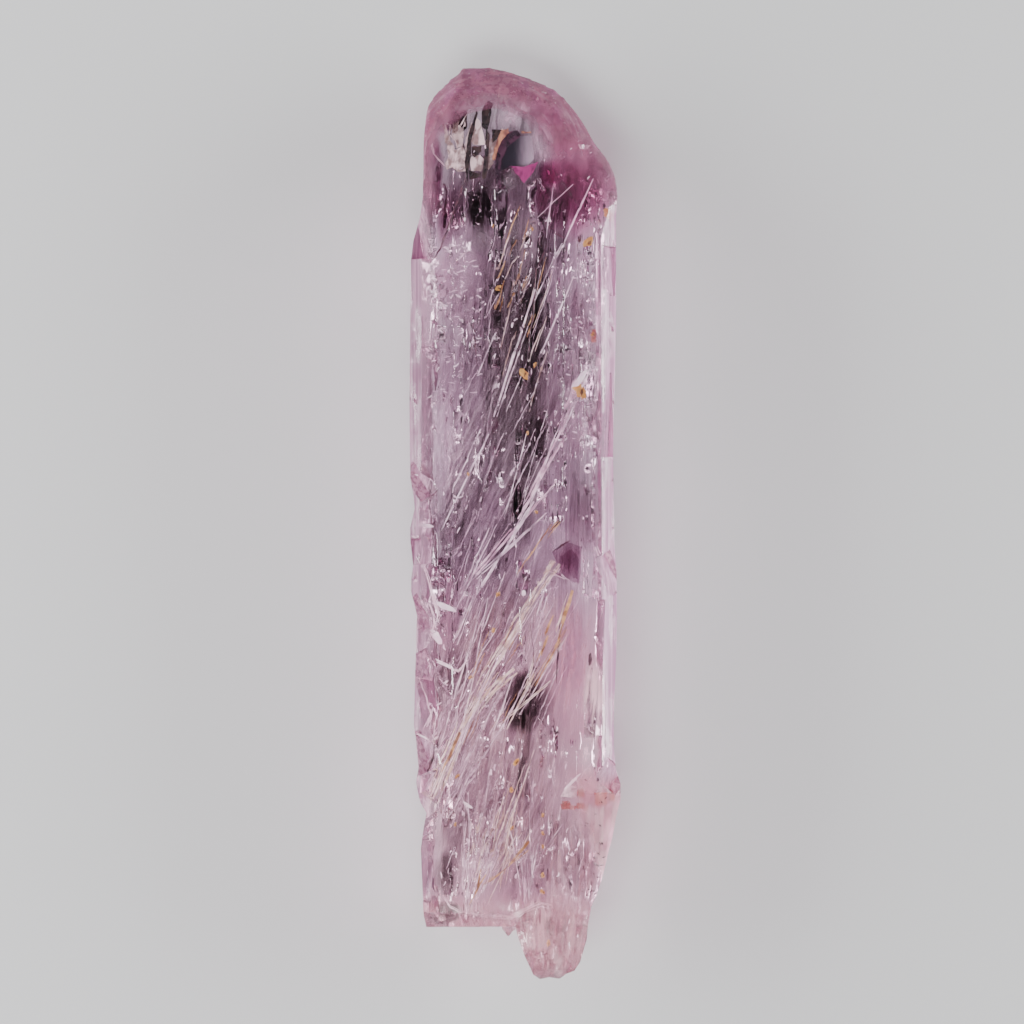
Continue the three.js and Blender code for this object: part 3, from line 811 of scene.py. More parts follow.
def needle_material(name, pale, deep, roughness, least):
    """A tube that is uneven in colour and in places too thin to see, with `least` of it there all along."""
    material, tree = new_material(name)
    place = tree.place()
    mottle = place.noise(900, 2)
    gaps = place.noise(330, 2)
    colour = mottle.rise(0.42, 0.58).pick(pale, deep)
    wall = tree.node(
        "ShaderNodeBsdfPrincipled", {}, {"Base Color": colour, "Roughness": roughness, "IOR": 1.3}
    )
    finish_partly(tree, least + (1 - least) * gaps.rise(0.36, 0.52), wall)
    return material


def silver(mesh):
    # the long ones that stand out
    needle(mesh, Vector((5.3, 34.4, 11.8)), 65, 11.6, 0.24)
    needle(mesh, Vector((2.6, 29.0, 11.8)), 65, 8.2, 0.16)
    needle(mesh, Vector((2.9, 39.8, 11.8)), 43, 6.4, 0.1)
    needle(mesh, Vector((-2.8, 13.8, 11.6)), 72, 17.5, 0.30)
    needle(mesh, Vector((-2.4, 13.8, 11.4)), 71, 12.5, 0.16)
    needle(mesh, Vector((3.4, 22.1, 11.8)), 67, 11.0, 0.24)
    needle(mesh, Vector((-4.9, 19.4, 11.6)), 66, 6.0, 0.22)
    needle(mesh, Vector((-8.2, 4.0, 11.6)), 66, 9.0, 0.20)
    needle(mesh, Vector((-9.6, -1.0, 11.6)), 64, 14.0, 0.20)
    needle(mesh, Vector((4.1, 37.2, 11.6)), 83, 7.0, 0.16)
    needle(mesh, Vector((6.2, 12.0, 11.8)), 66, 9.0, 0.24)
    lower = [(-10.7, -17.2), (-6.5, -8.5), (-1.6, -3.9), (2.6, 3.9)]
    bundle(mesh, lower, 9, 0.5, (6, 13), (0.10, 0.26), 11.2)
    # a broad one, open where it ends
    needle(mesh, Vector((-1.9, -4.4, 11.8)), 59, 8.4, 0.5)
    needle(mesh, Vector((-5.0, -9.4, 11.6)), 59, 5.6, 0.4)
    # the sprays
    spray(mesh, 60, (-12.0, -40.0), (-7.0, -30.0), (54, 84), (6, 24), (0.07, 0.20), (6, 11.8))
    spray(mesh, 44, (-7.0, -50.0), (-3.0, -44.0), (56, 96), (3, 14), (0.06, 0.16), (6, 11.8))
    spray(mesh, 24, (0.5, -50.0), (2.5, -46.0), (72, 100), (4, 12), (0.06, 0.16), (6, 11.8))
    spray(mesh, 60, (-9.0, -28.0), (3.0, -12.0), (56, 76), (4, 13), (0.06, 0.20), (5, 11.8))
    spray(mesh, 22, (-11.0, -14.0), (3.0, 12.0), (58, 80), (4, 16), (0.06, 0.16), (5, 11.8))
    spray(mesh, 12, (-7.0, 8.0), (4.0, 36.0), (62, 84), (3, 10), (0.06, 0.14), (6, 11.8))
    spray(mesh, 30, (-10.0, -46.0), (9.0, -34.0), (56, 110), (1.5, 4), (0.05, 0.13), (7, 11.6))


def rosy(mesh):
    ribbon = [(-6.5, -8.4), (-0.4, -1.0), (3.3, 6.3), (6.5, 14.7), (7.9, 17.6)]
    bundle(mesh, ribbon, 16, 0.6, (6, 13), (0.12, 0.34), 11.2)
    bundle(mesh, [(-0.4, -1.0), (2.4, 4.4), (3.6, 7.4)], 5, 0.5, (3, 6), (0.2, 0.4), 11.4)


def cream(mesh):
    bundle(mesh, [(-5.9, -23.4), (-1.3, -15.3), (4.6, -6.4)], 26, 1.3, (4, 11), (0.08, 0.24), 11.2)
    bundle(mesh, [(-12.0, -39.0), (-9.6, -33.0), (-5.6, -24.0)], 16, 1.6, (5, 11), (0.10, 0.26), 11.4)
    right_ribbon = [(-3.0, -27.0), (0.1, -24.3), (4.7, -17.1), (6.7, -10.5)]
    bundle(mesh, right_ribbon, 9, 0.7, (4, 9), (0.08, 0.2), 11.5)
    bundle(mesh, [(-1.7, -28.0), (0.9, -23.1), (2.3, -18.9)], 7, 0.5, (4, 8), (0.08, 0.2), 11.7)
    bundle(mesh, [(-8.4, -29.0), (-3.8, -22.6), (-1.0, -20.4)], 12, 1.2, (4, 8), (0.10, 0.3), 11.5)
    spray(mesh, 12, (-3.0, 13.0), (3.0, 34.0), (64, 76), (4, 9), (0.08, 0.2), (8, 11.8))
    spray(mesh, 24, (-6.5, -50.0), (1.0, -40.0), (60, 84), (4, 12), (0.08, 0.2), (7, 11.6))


def gold(mesh):
    bundle(mesh, [(-0.9, -27.3), (4.7, -17.1), (6.9, -10.2)], 9, 0.6, (4, 10), (0.12, 0.26), 11.9)
    bundle(mesh, [(2.6, -18.6), (4.6, -13.5)], 5, 0.7, (2, 4), (0.14, 0.26), 11.9)
    by_the_foot = [(-6.9, -51.0), (-5.3, -48.2), (-0.9, -44.8), (0.9, -42.6)]
    bundle(mesh, by_the_foot, 12, 0.3, (2, 5), (0.10, 0.22), 12.3)
    bundle(mesh, [(-5.1, -48.3), (-4.6, -45.9)], 3, 0.3, (1.5, 2.6), (0.12, 0.24), 12.3)
    bundle(mesh, [(-11.9, -38.0), (-9.9, -33.0), (-8.0, -28.6)], 6, 1.0, (4, 9), (0.10, 0.2), 11.8)
    bundle(mesh, [(-0.4, -8.2), (1.8, -5.0), (4.9, -1.0)], 4, 0.7, (3, 6), (0.10, 0.2), 11.9)
    spray(mesh, 12, (-3.5, 24.0), (3.5, 37.0), (64, 76), (2, 5), (0.10, 0.22), (9, 12.0))
    spray(mesh, 10, (-8.0, -32.0), (0.0, -12.0), (60, 70), (2, 6), (0.08, 0.16), (9, 12.0))


material = needle_material(
    "silvery_tube", pale=(0.97, 0.90, 0.94, 1), deep=(0.70, 0.58, 0.66, 1), roughness=0.3, least=0.25
)
filled("silvery_needles", material, silver)
material = needle_material(
    "rosy_tube", pale=(0.90, 0.70, 0.80, 1), deep=(0.62, 0.42, 0.53, 1), roughness=0.3, least=0.4
)
filled("rosy_needles", material, rosy)
material = needle_material(
    "cream_tube", pale=(0.98, 0.91, 0.82, 1), deep=(0.74, 0.60, 0.48, 1), roughness=0.4, least=0.35
)
filled("cream_needles", material, cream)
material = needle_material(
    "stained_tube", pale=(0.68, 0.47, 0.22, 1), deep=(0.30, 0.16, 0.06, 1), roughness=0.5, least=0.6
)
filled("golden_needles", material, gold)

# ================================================================ the cracks and flakes
# Small open cracks lie in the crystal, most of them near its front. Where one would flash with reflected
# light it is a thin white flake, a painted glint, and where it lies edge on it is a dark, bent line, painted
# shade.
FLAKE_THICK = 0.06  # mm
FLAKE_CORNERS = 7
PANE_STEPS = 3  # along each side of its outline
PANE_BEND = 0.05  # mm, how ragged its sides are
PANE_THICK = 0.08  # mm
CRACK_STEPS = 6  # along each stretch of a bent line
CRACK_SHAKE = 0.07  # mm off it, to either side


def flake(mesh, centre, length, width, turn, tilt, bow=0.0):
    """A thin, closed, pointed plate (mm): turned in the face's plane, tilted about its length, and bowed."""
    along = Vector((math.cos(math.radians(turn)), math.sin(math.radians(turn)), 0))
    flat = Vector((-along.y, along.x, 0))
    across = flat * math.cos(math.radians(tilt)) + Vector((0, 0, math.sin(math.radians(tilt))))
    normal = along.cross(across)
    outline = []
    for k in range(FLAKE_CORNERS):
        a = math.tau * k / FLAKE_CORNERS
        reach = draw.uniform(0.7, 1.1)
        point = along * (length / 2 * math.cos(a) * reach) + across * (width / 2 * math.sin(a) * reach)
        outline.append(point + flat * bow * length * math.cos(a) ** 2)
    top = [mesh.verts.new((centre + p + normal * FLAKE_THICK / 2) * MM) for p in outline]
    low = [mesh.verts.new((centre + p - normal * FLAKE_THICK / 2) * MM) for p in outline]
    mesh.faces.new(top)
    mesh.faces.new(low[::-1])
    for k in range(FLAKE_CORNERS):
        n = (k + 1) % FLAKE_CORNERS
        mesh.faces.new((top[k], low[k], low[n], top[n]))


def pane(mesh, outline, depth):
    """A thin closed plate with this outline (mm), so deep under the front."""
    rim = []
    for (x0, y0), (x1, y1) in zip(outline, outline[1:] + outline[:1]):
        for i in range(PANE_STEPS):
            t = i / PANE_STEPS
            bend = PANE_BEND * draw.uniform(-1, 1)
            rim.append((x0 + (x1 - x0) * t + bend, y0 + (y1 - y0) * t + bend))
    middle = (sum(p[0] for p in rim) / len(rim), sum(p[1] for p in rim) / len(rim))
    lower = Vector((0, 0, PANE_THICK))
    top = [mesh.verts.new(under(*p, depth) * MM) for p in rim]
    low = [mesh.verts.new((under(*p, depth) - lower) * MM) for p in rim]
    top_middle = mesh.verts.new(under(*middle, depth) * MM)
    low_middle = mesh.verts.new((under(*middle, depth) - lower) * MM)
    for k in range(len(rim)):
        n = (k + 1) % len(rim)
        mesh.faces.new((top_middle, top[k], top[n]))
        mesh.faces.new((low_middle, low[n], low[k]))
        mesh.faces.new((top[k], low[k], low[n], top[n]))


def panes(name, material, outlines):
    def fill(mesh):
        for depth, outline in outlines:
            pane(mesh, outline, depth)

    filled(name, material, fill, smooth=False)


# Short bright cracks in groups, painted glints: how many, from where to where, their lengths (mm) and
# their directions.
GLINTS = [
    (120, (-11.4, 16.0), (-4.4, 37.0), (0.15, 1.0), (-40, 50)),
    (80, (5.4, 8.0), (10.6, 34.0), (0.15, 0.9), (-60, 60)),
    (50, (-11.0, -14.0), (-2.0, 16.0), (0.2, 1.0), (50, 110)),
    (50, (-3.0, 4.0), (5.0, 36.0), (0.2, 1.0), (60, 100)),
    (70, (-11.0, -48.0), (8.0, -26.0), (0.2, 1.1), (60, 110)),
    (24, (-9.5, 44.5), (10.0, 50.0), (0.2, 0.8), (20, 120)),
    (24, (1.6, -57.0), (8.6, -50.0), (0.2, 1.0), (70, 110)),
    (30, (-11.8, -34.0), (-7.0, -6.0), (0.3, 1.1), (20, 120)),
]


def glints(mesh):
    for count, low, high, lengths, turns in GLINTS:
        for _ in range(count):
            x, y = draw.uniform(low[0], high[0]), draw.uniform(low[1], high[1])
            centre = Vector((x, y, draw.uniform(8.0, 11.9)))
            length = draw.uniform(*lengths)
            tilt = draw.choice((-1, 1)) * draw.uniform(20, 60)
            bow = draw.uniform(-0.2, 0.2)
            flake(mesh, centre, length, length * draw.uniform(0.1, 0.36), draw.uniform(*turns), tilt, bow)
    # the large, bright ones, painted glints as well
    pane(mesh, [(9.5, 20.0), (8.6, 19.5), (7.7, 18.3), (7.4, 17.6), (8.3, 17.9), (9.0, 18.7)], 0.5)
    flake(mesh, under(-9.0, -11.0, 0.6), 3.2, 0.9, -24, 30)
    flake(mesh, under(-9.2, -18.4, 0.7), 3.0, 0.5, -26, 40)
    flake(mesh, under(7.4, -33.8, 0.7), 3.6, 0.5, 44, 36)
    flake(mesh, under(-6.2, -36.8, 0.6), 1.8, 0.5, -34, 35)
    flake(mesh, under(-11.6, -0.4, 0.7), 2.6, 0.7, -8, 35)
    flake(mesh, under(-12.2, 6.0, 0.7), 2.6, 0.8, -12, 25)
    flake(mesh, under(-10.2, -15.0, 0.7), 3.0, 1.2, -50, 30)
    flake(mesh, under(1.1, -9.2, 0.6), 1.0, 0.6, 80, 20)


def flake_material(name, bright, dull):
    material, tree = new_material(name)
    place = tree.place()
    mottle = place.noise(1300, 2)
    colour = mottle.rise(0.4, 0.6).pick(dull, bright)
    surface = tree.node("ShaderNodeBsdfPrincipled", {}, {"Base Color": colour, "Roughness": 0.2, "IOR": 1.6})
    tree.node("ShaderNodeOutputMaterial", {}, {"Surface": surface})
    return material


# painted glints: white flakes where the cracks would flash with reflected light
material = flake_material("painted_glint_crack", bright=(0.99, 0.95, 0.97, 1), dull=(0.90, 0.76, 0.85, 1))
filled("painted_glint_flakes", material, glints, smooth=False)


def bent_line(mesh, route, width):
    """A crack seen edge on: it runs through these points, and thins out at both ends."""
    points = []
    for a, b in zip(route, route[1:]):
        for i in range(CRACK_STEPS):
            shake = Vector((draw.uniform(-CRACK_SHAKE, CRACK_SHAKE), 0, 0))
            points.append(Vector(a).lerp(Vector(b), i / CRACK_STEPS) + shake)
    points.append(Vector(route[-1]))
    last = len(points) - 1
    swells = [0.3 + 0.7 * math.sin(math.pi * i / last) for i in range(last + 1)]
    tube(mesh, points, [width * swell * draw.uniform(0.7, 1.2) for swell in swells])


# Short cracks that reach the skin of the low right side (mm).
FLANK_CRACKS = [
    [(10.1, -43.7), (10.7, -43.9)],
    [(11.2, -43.9), (11.9, -43.7)],
    [(10.2, -44.5), (10.9, -44.9), (11.6, -44.8)],
    [(10.6, -46.3), (11.1, -46.5)],
    [(9.9, -48.1), (10.4, -48.3)],
    [(8.9, -44.6), (9.0, -45.4)],
    [(10.9, -39.4), (11.3, -39.7)],
]


def dark_lines(mesh):
    bent_line(mesh, [(-6.3, 45.6, 11.2), (-7.6, 41.7, 11.6), (-9.6, 36.0, 11.6), (-10.9, 33.9, 11.4)], 0.30)
    bent_line(mesh, [(-9.6, -27.2, 11.5), (-11.0, -31.4, 11.4), (-11.7, -33.3, 11.2)], 0.36)
    bent_line(mesh, [(4.2, 36.4, 11.4), (2.8, 33.0, 11.4), (2.4, 27.6, 11.4), (1.4, 20.2, 11.4)], 0.28)
    bent_line(mesh, [(-5.6, 26.4, 11.4), (-5.2, 23.4, 11.4), (-5.0, 20.4, 11.4)], 0.22)
    bent_line(mesh, [(4.0, 39.2, 11.4), (5.6, 37.6, 11.4), (6.6, 36.9, 11.4)], 0.16)
    bent_line(mesh, [(4.6, -1.2, 11.4), (6.2, 0.6, 11.4)], 0.2)
    bent_line(mesh, [(4.9, -3.8, 11.5), (6.0, -2.9, 11.5), (7.2, -2.3, 11.5)], 0.3)
    bent_line(mesh, [(-10.6, 9.4, 11.4), (-11.2, 2.0, 11.4), (-10.4, -3.0, 11.4)], 0.18)
    bent_line(mesh, [(1.9, -12.9, 11.4), (2.4, -17.0, 11.4), (2.2, -21.0, 11.4)], 0.12)
    bent_line(mesh, [(5.9, -12.8, 11.0), (5.7, -17.0, 11.0), (5.4, -21.0, 11.0)], 0.3)
    bent_line(mesh, [(9.9, -17.0, 11.0), (9.7, -18.7, 11.0)], 0.5)
    # short ones scattered over the low right side
    for _ in range(26):
        x, y = draw.uniform(8.4, 12.4), draw.uniform(-49.0, -33.0)
        x = min(x, 12.4 + 0.2 * (y + 36))
        far = under(x + draw.uniform(-0.4, 0.4), y + draw.uniform(-0.4, 0.4), 0.03)
        bent_line(mesh, [under(x, y, 0.03), far], draw.uniform(0.1, 0.24))
    for route in FLANK_CRACKS:
        bent_line(mesh, [under(x, y, 0.02) for x, y in route], 0.2)


def pale_strands(mesh, route, count, spread, width):
    """A crack's edge that splits into strands."""
    for _ in range(count):
        shift = Vector((draw.uniform(-1, 1), draw.uniform(-1, 1), 0)) * spread
        strand = [Vector(p) + shift * draw.uniform(0.3, 1) for p in route]
        bent_line(mesh, strand, width * draw.uniform(0.6, 1.2))


def pale_lines(mesh):
    along_the_break = [
        (-6.9, -50.8, 11.8), (-3.7, -51.3, 11.6), (-0.1, -51.5, 11.6),
        (1.5, -50.6, 11.8), (3.3, -49.8, 11.8), (4.6, -50.0, 11.8),
    ]
    pale_strands(mesh, along_the_break, 6, 0.4, 0.08)
    pale_strands(mesh, along_the_break[1:4], 6, 0.5, 0.09)
    pale_strands(mesh, [(-9.4, -48.6, 11.6), (-8.4, -50.0, 11.6), (-7.0, -50.7, 11.6)], 3, 0.2, 0.09)
    pale_strands(mesh, [(-12.6, -20.6, 10.6), (-10.9, -25.0, 11.4), (-12.0, -27.4, 10.6)], 3, 0.4, 0.2)
    pale_strands(mesh, [(-13.0, -27.6, 10.4), (-10.8, -28.6, 11.0), (-10.1, -28.0, 11.2)], 3, 0.2, 0.2)
    pale_strands(mesh, [(-10.2, -18.1, 11.2), (-7.3, -19.3, 11.4), (-6.4, -18.1, 11.4)], 4, 0.2, 0.2)
    left_side = [(-12.6, -4.4, 10.8), (-11.4, -6.6, 11.3), (-10.0, -12.0, 11.4), (-11.2, -15.4, 11.2)]
    pale_strands(mesh, left_side, 4, 0.4, 0.18)
    small_hook = [(-8.1, 3.7, 11.6), (-7.5, 3.3, 11.6), (-6.9, 3.4, 11.6), (-6.7, 4.0, 11.6)]
    pale_strands(mesh, small_hook, 2, 0.1, 0.14)
    pale_strands(mesh, [(4.3, -6.0, 11.2), (5.6, -6.6, 11.0), (7.1, -7.4, 10.8)], 2, 0.15, 0.14)
    pale_strands(mesh, [(10.4, -3.2, 10.6), (11.6, -6.6, 10.6), (11.9, -9.0, 10.6)], 4, 0.4, 0.2)
    round_the_window = [(-11.0, 53.8, 9.0), (-11.0, 50.0, 9.6), (-10.6, 48.0, 10.0), (-9.2, 46.4, 10.4)]
    pale_strands(mesh, round_the_window, 2, 0.15, 0.16)


# painted shade: nearly black lines where cracks lie edge on
material = flake_material("dark_crack_shade", bright=(0.05, 0.03, 0.04, 1), dull=(0.10, 0.05, 0.06, 1))
filled("dark_crack_shades", material, dark_lines, smooth=False)
material = flake_material("pale_crack", bright=(0.98, 0.88, 0.92, 1), dull=(0.86, 0.68, 0.74, 1))
filled("pale_cracks", material, pale_lines, smooth=False)

# ================================================================ the rose veil
# Under the rounded end a frosted rose veil follows the skin round its edge, and leaves a clear window in
# its middle.
VEIL_DEPTH = 1.3  # mm under the skin
VEIL_SPOKES = 60
VEIL_RINGS = 14


def rose_veil(mesh):
    """A sheet that lies evenly deep under the front, from the window out to the crystal's edge."""
    fade = mesh.verts.layers.float["fade"]
    rows = []
    for i in range(VEIL_RINGS + 1):
        row = []
        for k in range(VEIL_SPOKES + 1):
            turn = math.pi * (-0.25 + 1.5 * k / VEIL_SPOKES)
            out = 0.9 + 1.25 * i / VEIL_RINGS
            out += 0.06 * noise.noise((3 * math.cos(turn), 3 * math.sin(turn), i * 0.2))
            edge = Vector((WINDOW_HALF[0] * math.cos(turn), WINDOW_HALF[1] * math.sin(turn), 0))
            spot = WINDOW_MIDDLE + edge * out
            kept = inside(spot, WINDOW_MIDDLE + Vector((0, 0, 6)))
            v = mesh.verts.new(under(kept.x, kept.y, VEIL_DEPTH) * MM)
            low = 38 + 6 * ramp(-6, 2, kept.x)
            v[fade] = ramp(0.92, 1.22, out + 0.16 * max(0, math.sin(turn))) * ramp(low, low + 6, kept.y)
            row.append(v)
        rows.append(row)
    for a, b in zip(rows, rows[1:]):
        for k in range(VEIL_SPOKES):
            mesh.faces.new((a[k], b[k], b[k + 1], a[k + 1]))


def veil_material():
    material, tree, place, fade = film_start("rose_veil")
    wisps = place.streaks(0.9, 0.25, 5, 0.1)
    colour = wisps.rise(0.35, 0.65).pick((0.20, 0.055, 0.115, 1), (0.36, 0.15, 0.23, 1))
    matte = tree.node("ShaderNodeBsdfPrincipled", {}, {"Base Color": colour, "Roughness": 0.6})
    finish_partly(tree, fade * (0.62 + 0.3 * wisps), matte)
    return material


filled("rose_veil", veil_material(), rose_veil, fades=True)

# ================================================================ the window and the wedge
# Wide cracks and films turn their flat sides to the front. A purple wedge lies half way down, and the
# clear window holds crumples bright with a painted reflection, dark gaps of painted shade, a grey pane
# with painted light and shade, and patches of magenta, with clouds beside it.


def tinted_material(name, tint):
    """A fluid-filled crack that only colours what is behind it."""
    material, tree = new_material(name)
    place = tree.place()
    lines = place.streaks(1.6, 0.2, 7).rise(0.35, 0.6)
    tinted = tree.node("ShaderNodeBsdfTransparent", {}, {"Color": tint})
    finish_partly(tree, 0.5 + 0.5 * lines, tinted)
    return material


# The purple wedge: two fluid-filled cracks, one under the other. Each pane, here and in the lists below:
# its depth under the front, and its outline (mm).
PURPLE_WEDGE = [
    (1.6, [(4.9, -3.8), (6.8, -2.5), (8.7, -3.2), (8.5, -7.9), (7.2, -7.5), (5.9, -6.3)]),
    (1.9, [(5.7, -4.4), (7.4, -3.4), (8.2, -4.6), (8.2, -7.4), (7.0, -6.6)]),
]
panes("purple_wedge", tinted_material("purple_pane", (0.80, 0.72, 0.77, 1)), PURPLE_WEDGE)

# Facets of a crumpled crack in the window, bright with a painted reflection.
CREAM_CRUMPLES = [
    (1.9, [
        (-9.8, 52.8), (-9.3, 53.0), (-8.9, 51.6), (-8.8, 50.0),
        (-8.2, 49.4), (-8.5, 49.0), (-9.1, 49.6),
    ]),
    (2.0, [
        (-8.9, 49.4), (-8.2, 49.5), (-7.6, 48.0), (-8.0, 46.4),
        (-8.9, 46.0), (-9.2, 46.7), (-8.7, 47.6),
    ]),
    (2.3, [(-8.1, 50.3), (-7.3, 52.0), (-6.7, 51.0), (-6.9, 49.0), (-7.7, 48.8)]),
    (2.0, [(-7.7, 48.6), (-6.8, 49.0), (-6.3, 47.4), (-6.4, 45.8), (-7.4, 45.7), (-8.2, 46.3)]),
    (2.3, [(-6.4, 50.2), (-5.7, 52.2), (-5.6, 51.2), (-6.2, 48.2), (-6.6, 48.0)]),
    (2.0, [(-5.2, 53.0), (-4.6, 52.4), (-4.1, 50.2), (-3.8, 49.2), (-5.3, 49.3), (-5.7, 49.8)]),
    (2.0, [(-5.9, 47.6), (-4.5, 48.0), (-4.0, 47.2), (-4.4, 45.8), (-5.7, 45.9)]),
    (2.2, [(-3.3, 50.0), (-1.9, 50.3), (-2.7, 48.4), (-2.8, 46.8), (-3.5, 45.9), (-3.7, 47.6)]),
    (2.3, [(-2.9, 50.8), (-1.5, 51.4), (-1.9, 50.4), (-2.6, 49.8)]),
]


def cream_reflection_panes(mesh):
    for depth, outline in CREAM_CRUMPLES:
        pane(mesh, outline, depth)
    # slivers fanned out beside it
    for _ in range(20):
        foot = Vector((draw.uniform(-8.8, -6.2), draw.uniform(48.6, 52.0), 0))
        turn = math.radians(draw.uniform(60, 125))
        way = Vector((math.cos(turn), math.sin(turn), 0)) * draw.uniform(0.8, 2.4)
        side = Vector((-way.y, way.x, 0)).normalized() * draw.uniform(0.05, 0.12)
        pane(mesh, [(foot + side)[:2], (foot + way)[:2], (foot - side)[:2]], 1.8)
    # two rows of specks that climb to the rim
    for x, low, high in ((-2.2, 55.3, 57.4), (2.7, 55.0, 57.2)):
        for _ in range(12):
            y = draw.uniform(low, high)
            size = draw.uniform(0.08, 0.2)
            left = x + 0.2 * (y - low) * draw.uniform(0.4, 1) + draw.uniform(-0.12, 0.12)
            pane(mesh, [(left, y), (left + size, y + 0.3 * size), (left + 0.5 * size, y + 2.2 * size)], 0.9)


def pane_material(name, bright, dull, scale, least, roughness):
    """A crack painted in two tones, in patches, with `least` of it there all over."""
    material, tree = new_material(name)
    place = tree.place()
    tones = place.noise(scale, 3)
    wrinkles = place.streaks(2.0, 0.35, 21, 0.2)
    colour = (0.5 * tones + 0.5 * wrinkles).rise(0.42, 0.56).pick(dull, bright)
    mirror = tree.node("ShaderNodeBsdfPrincipled", {}, {"Base Color": colour, "Roughness": roughness})
    finish_partly(tree, least + (1 - least) * tones.rise(0.4, 0.55), mirror)
    return material


def grey_painted_light_material():
    """The grey pane, with painted light and shade: dark on the left, brighter to the right, where it would
    turn to the light.
    """
    material, tree = new_material("grey_pane_painted_light")
    place = tree.place()
    lines = place.streaks(2.6, 0.1, 7)
    # painted light and shade: dark on the left, brightening to the right
    bright = (place.axes()[0] + 0.6 * MM * lines).rise(0, 2.8 * MM)
    colour = bright.pick((0.02, 0.02, 0.028, 1), (0.48, 0.43, 0.49, 1))
    surface = tree.node("ShaderNodeBsdfPrincipled", {}, {"Base Color": colour, "Roughness": 0.4})
    tree.node("ShaderNodeOutputMaterial", {}, {"Surface": surface})
    return material


# Magenta films, by the shoulder and in two clear places lower down.
MAGENTA = [
    ((5.6, 45.6, 9.6), (3.4, 2.0), -10, 0, 1.0),
    ((4.4, 45.4, 9.0), (1.4, 2.2), 0, 0, 0.8),
    ((8.4, 43.6, 8.0), (4.0, 4.4), 20, 0, 0.42),
    ((7.6, -19.0, 9.0), (5.4, 12.5), 0, 0, 0.28),
    ((1.0, -47.0, 9.0), (5.4, 4.2), 0, 0, 0.25),
]
material = shading_film("magenta_film", (0.74, 0.32, 0.56, 1), fine=1.0, along=0.5, lean=0.0, least=0.6)
films("magenta_films", material, MAGENTA)

# painted reflection: bright cream patches where the crumpled crack would mirror the light
material = pane_material(
    "cream_crack_painted_reflection",
    bright=(0.97, 0.88, 0.80, 1),
    dull=(0.40, 0.31, 0.27, 1),
    scale=800,
    least=0.6,
    roughness=0.3,
)
filled("cream_reflection_panes", material, cream_reflection_panes, smooth=False)

# Pale plates: at the right shoulder, by the rusty blocks and on the break.
PALE_PLATES = [
    (1.2, [(8.0, 49.4), (9.6, 49.3), (9.2, 48.7), (8.3, 48.8)]),
    (1.0, [(5.9, -35.7), (6.8, -34.2), (7.9, -34.4), (7.8, -35.9)]),
    (1.0, [(-2.6, -51.2), (-0.2, -50.9), (1.0, -50.3), (0.6, -51.2), (-0.6, -51.7)]),
]
material = pane_material(
    "pale_plate",
    bright=(0.80, 0.66, 0.70, 1),
    dull=(0.64, 0.48, 0.54, 1),
    scale=800,
    least=0.5,
    roughness=0.4,
)
panes("pale_plates", material, PALE_PLATES)

# Dark gaps between the crumples, painted shade: nearly black panes.
DARK_GAP_SHADES = [
    (1.9, [
        (-3.3, 54.9), (-2.9, 54.6), (-3.2, 52.8), (-3.6, 51.0),
        (-4.4, 51.8), (-4.3, 53.6), (-3.8, 54.8),
    ]),
    (1.9, [(-3.8, 51.4), (-3.3, 50.8), (-3.4, 47.0), (-3.8, 44.9), (-4.4, 45.0), (-4.0, 48.0)]),
    (1.8, [
        (-5.0, 54.0), (-4.9, 53.4), (-5.6, 50.6), (-5.9, 46.6),
        (-6.3, 44.2), (-6.6, 47.0), (-6.1, 50.6),
    ]),
    (1.9, [(-5.6, 49.1), (-4.4, 49.1), (-4.4, 48.4), (-5.4, 47.5), (-5.7, 48.0)]),
    (2.1, [(-6.0, 46.0), (-4.5, 45.5), (-4.9, 45.0), (-6.1, 44.8)]),
    (2.0, [(-3.0, 51.3), (-1.7, 51.2), (-2.4, 50.0), (-3.0, 49.4)]),
    (2.6, [(-8.6, 53.6), (-6.4, 53.8), (-6.3, 51.6), (-7.4, 50.2), (-8.3, 51.4)]),
    (2.6, [(-7.4, 49.6), (-6.9, 50.4), (-6.5, 48.0), (-6.7, 46.4)]),
]
material = pane_material(
    "dark_gap_shade",
    bright=(0.05, 0.035, 0.03, 1),
    dull=(0.01, 0.01, 0.01, 1),
    scale=900,
    least=0.8,
    roughness=0.6,
)
panes("dark_shade_panes", material, DARK_GAP_SHADES)

# A dark crescent, painted shade, that narrows from the top of the grey pane down along its left side.
CRESCENT_SHADE = [
    (2.0, [(-0.9, 51.0), (0.1, 51.1), (0.7, 50.5), (-0.7, 49.2), (-1.2, 48.4), (-1.9, 49.4), (-1.6, 50.2)]),
    (2.0, [
        (-1.9, 49.4), (-1.2, 48.4), (-1.7, 47.2), (-1.9, 46.0),
        (-1.9, 44.1), (-2.4, 44.1), (-2.6, 46.2), (-2.5, 48.0),
    ]),
]
material = pane_material(
    "purple_gap_shade",
    bright=(0.07, 0.025, 0.05, 1),
    dull=(0.02, 0.01, 0.02, 1),
    scale=900,
    least=0.8,
    roughness=0.6,
)
panes("dark_crescent_shade", material, CRESCENT_SHADE)

# The crescent's edge, painted orange as a highlight where it catches light.
ORANGE_EDGE_HIGHLIGHT = [
    (1.8, [
        (-1.7, 51.2), (-0.9, 51.5), (-0.8, 50.9), (-1.7, 49.9), (-2.3, 48.6),
        (-2.6, 47.2), (-3.0, 47.4), (-2.7, 48.8), (-2.2, 50.1),
    ]),
    (1.9, [(0.7, 51.0), (1.9, 51.0), (2.0, 50.8), (0.8, 50.8)]),
]
material = pane_material(
    "orange_edge_highlight",
    bright=(0.56, 0.29, 0.15, 1),
    dull=(0.24, 0.10, 0.08, 1),
    scale=900,
    least=0.7,
    roughness=0.4,
)
panes("orange_edge_highlight", material, ORANGE_EDGE_HIGHLIGHT)

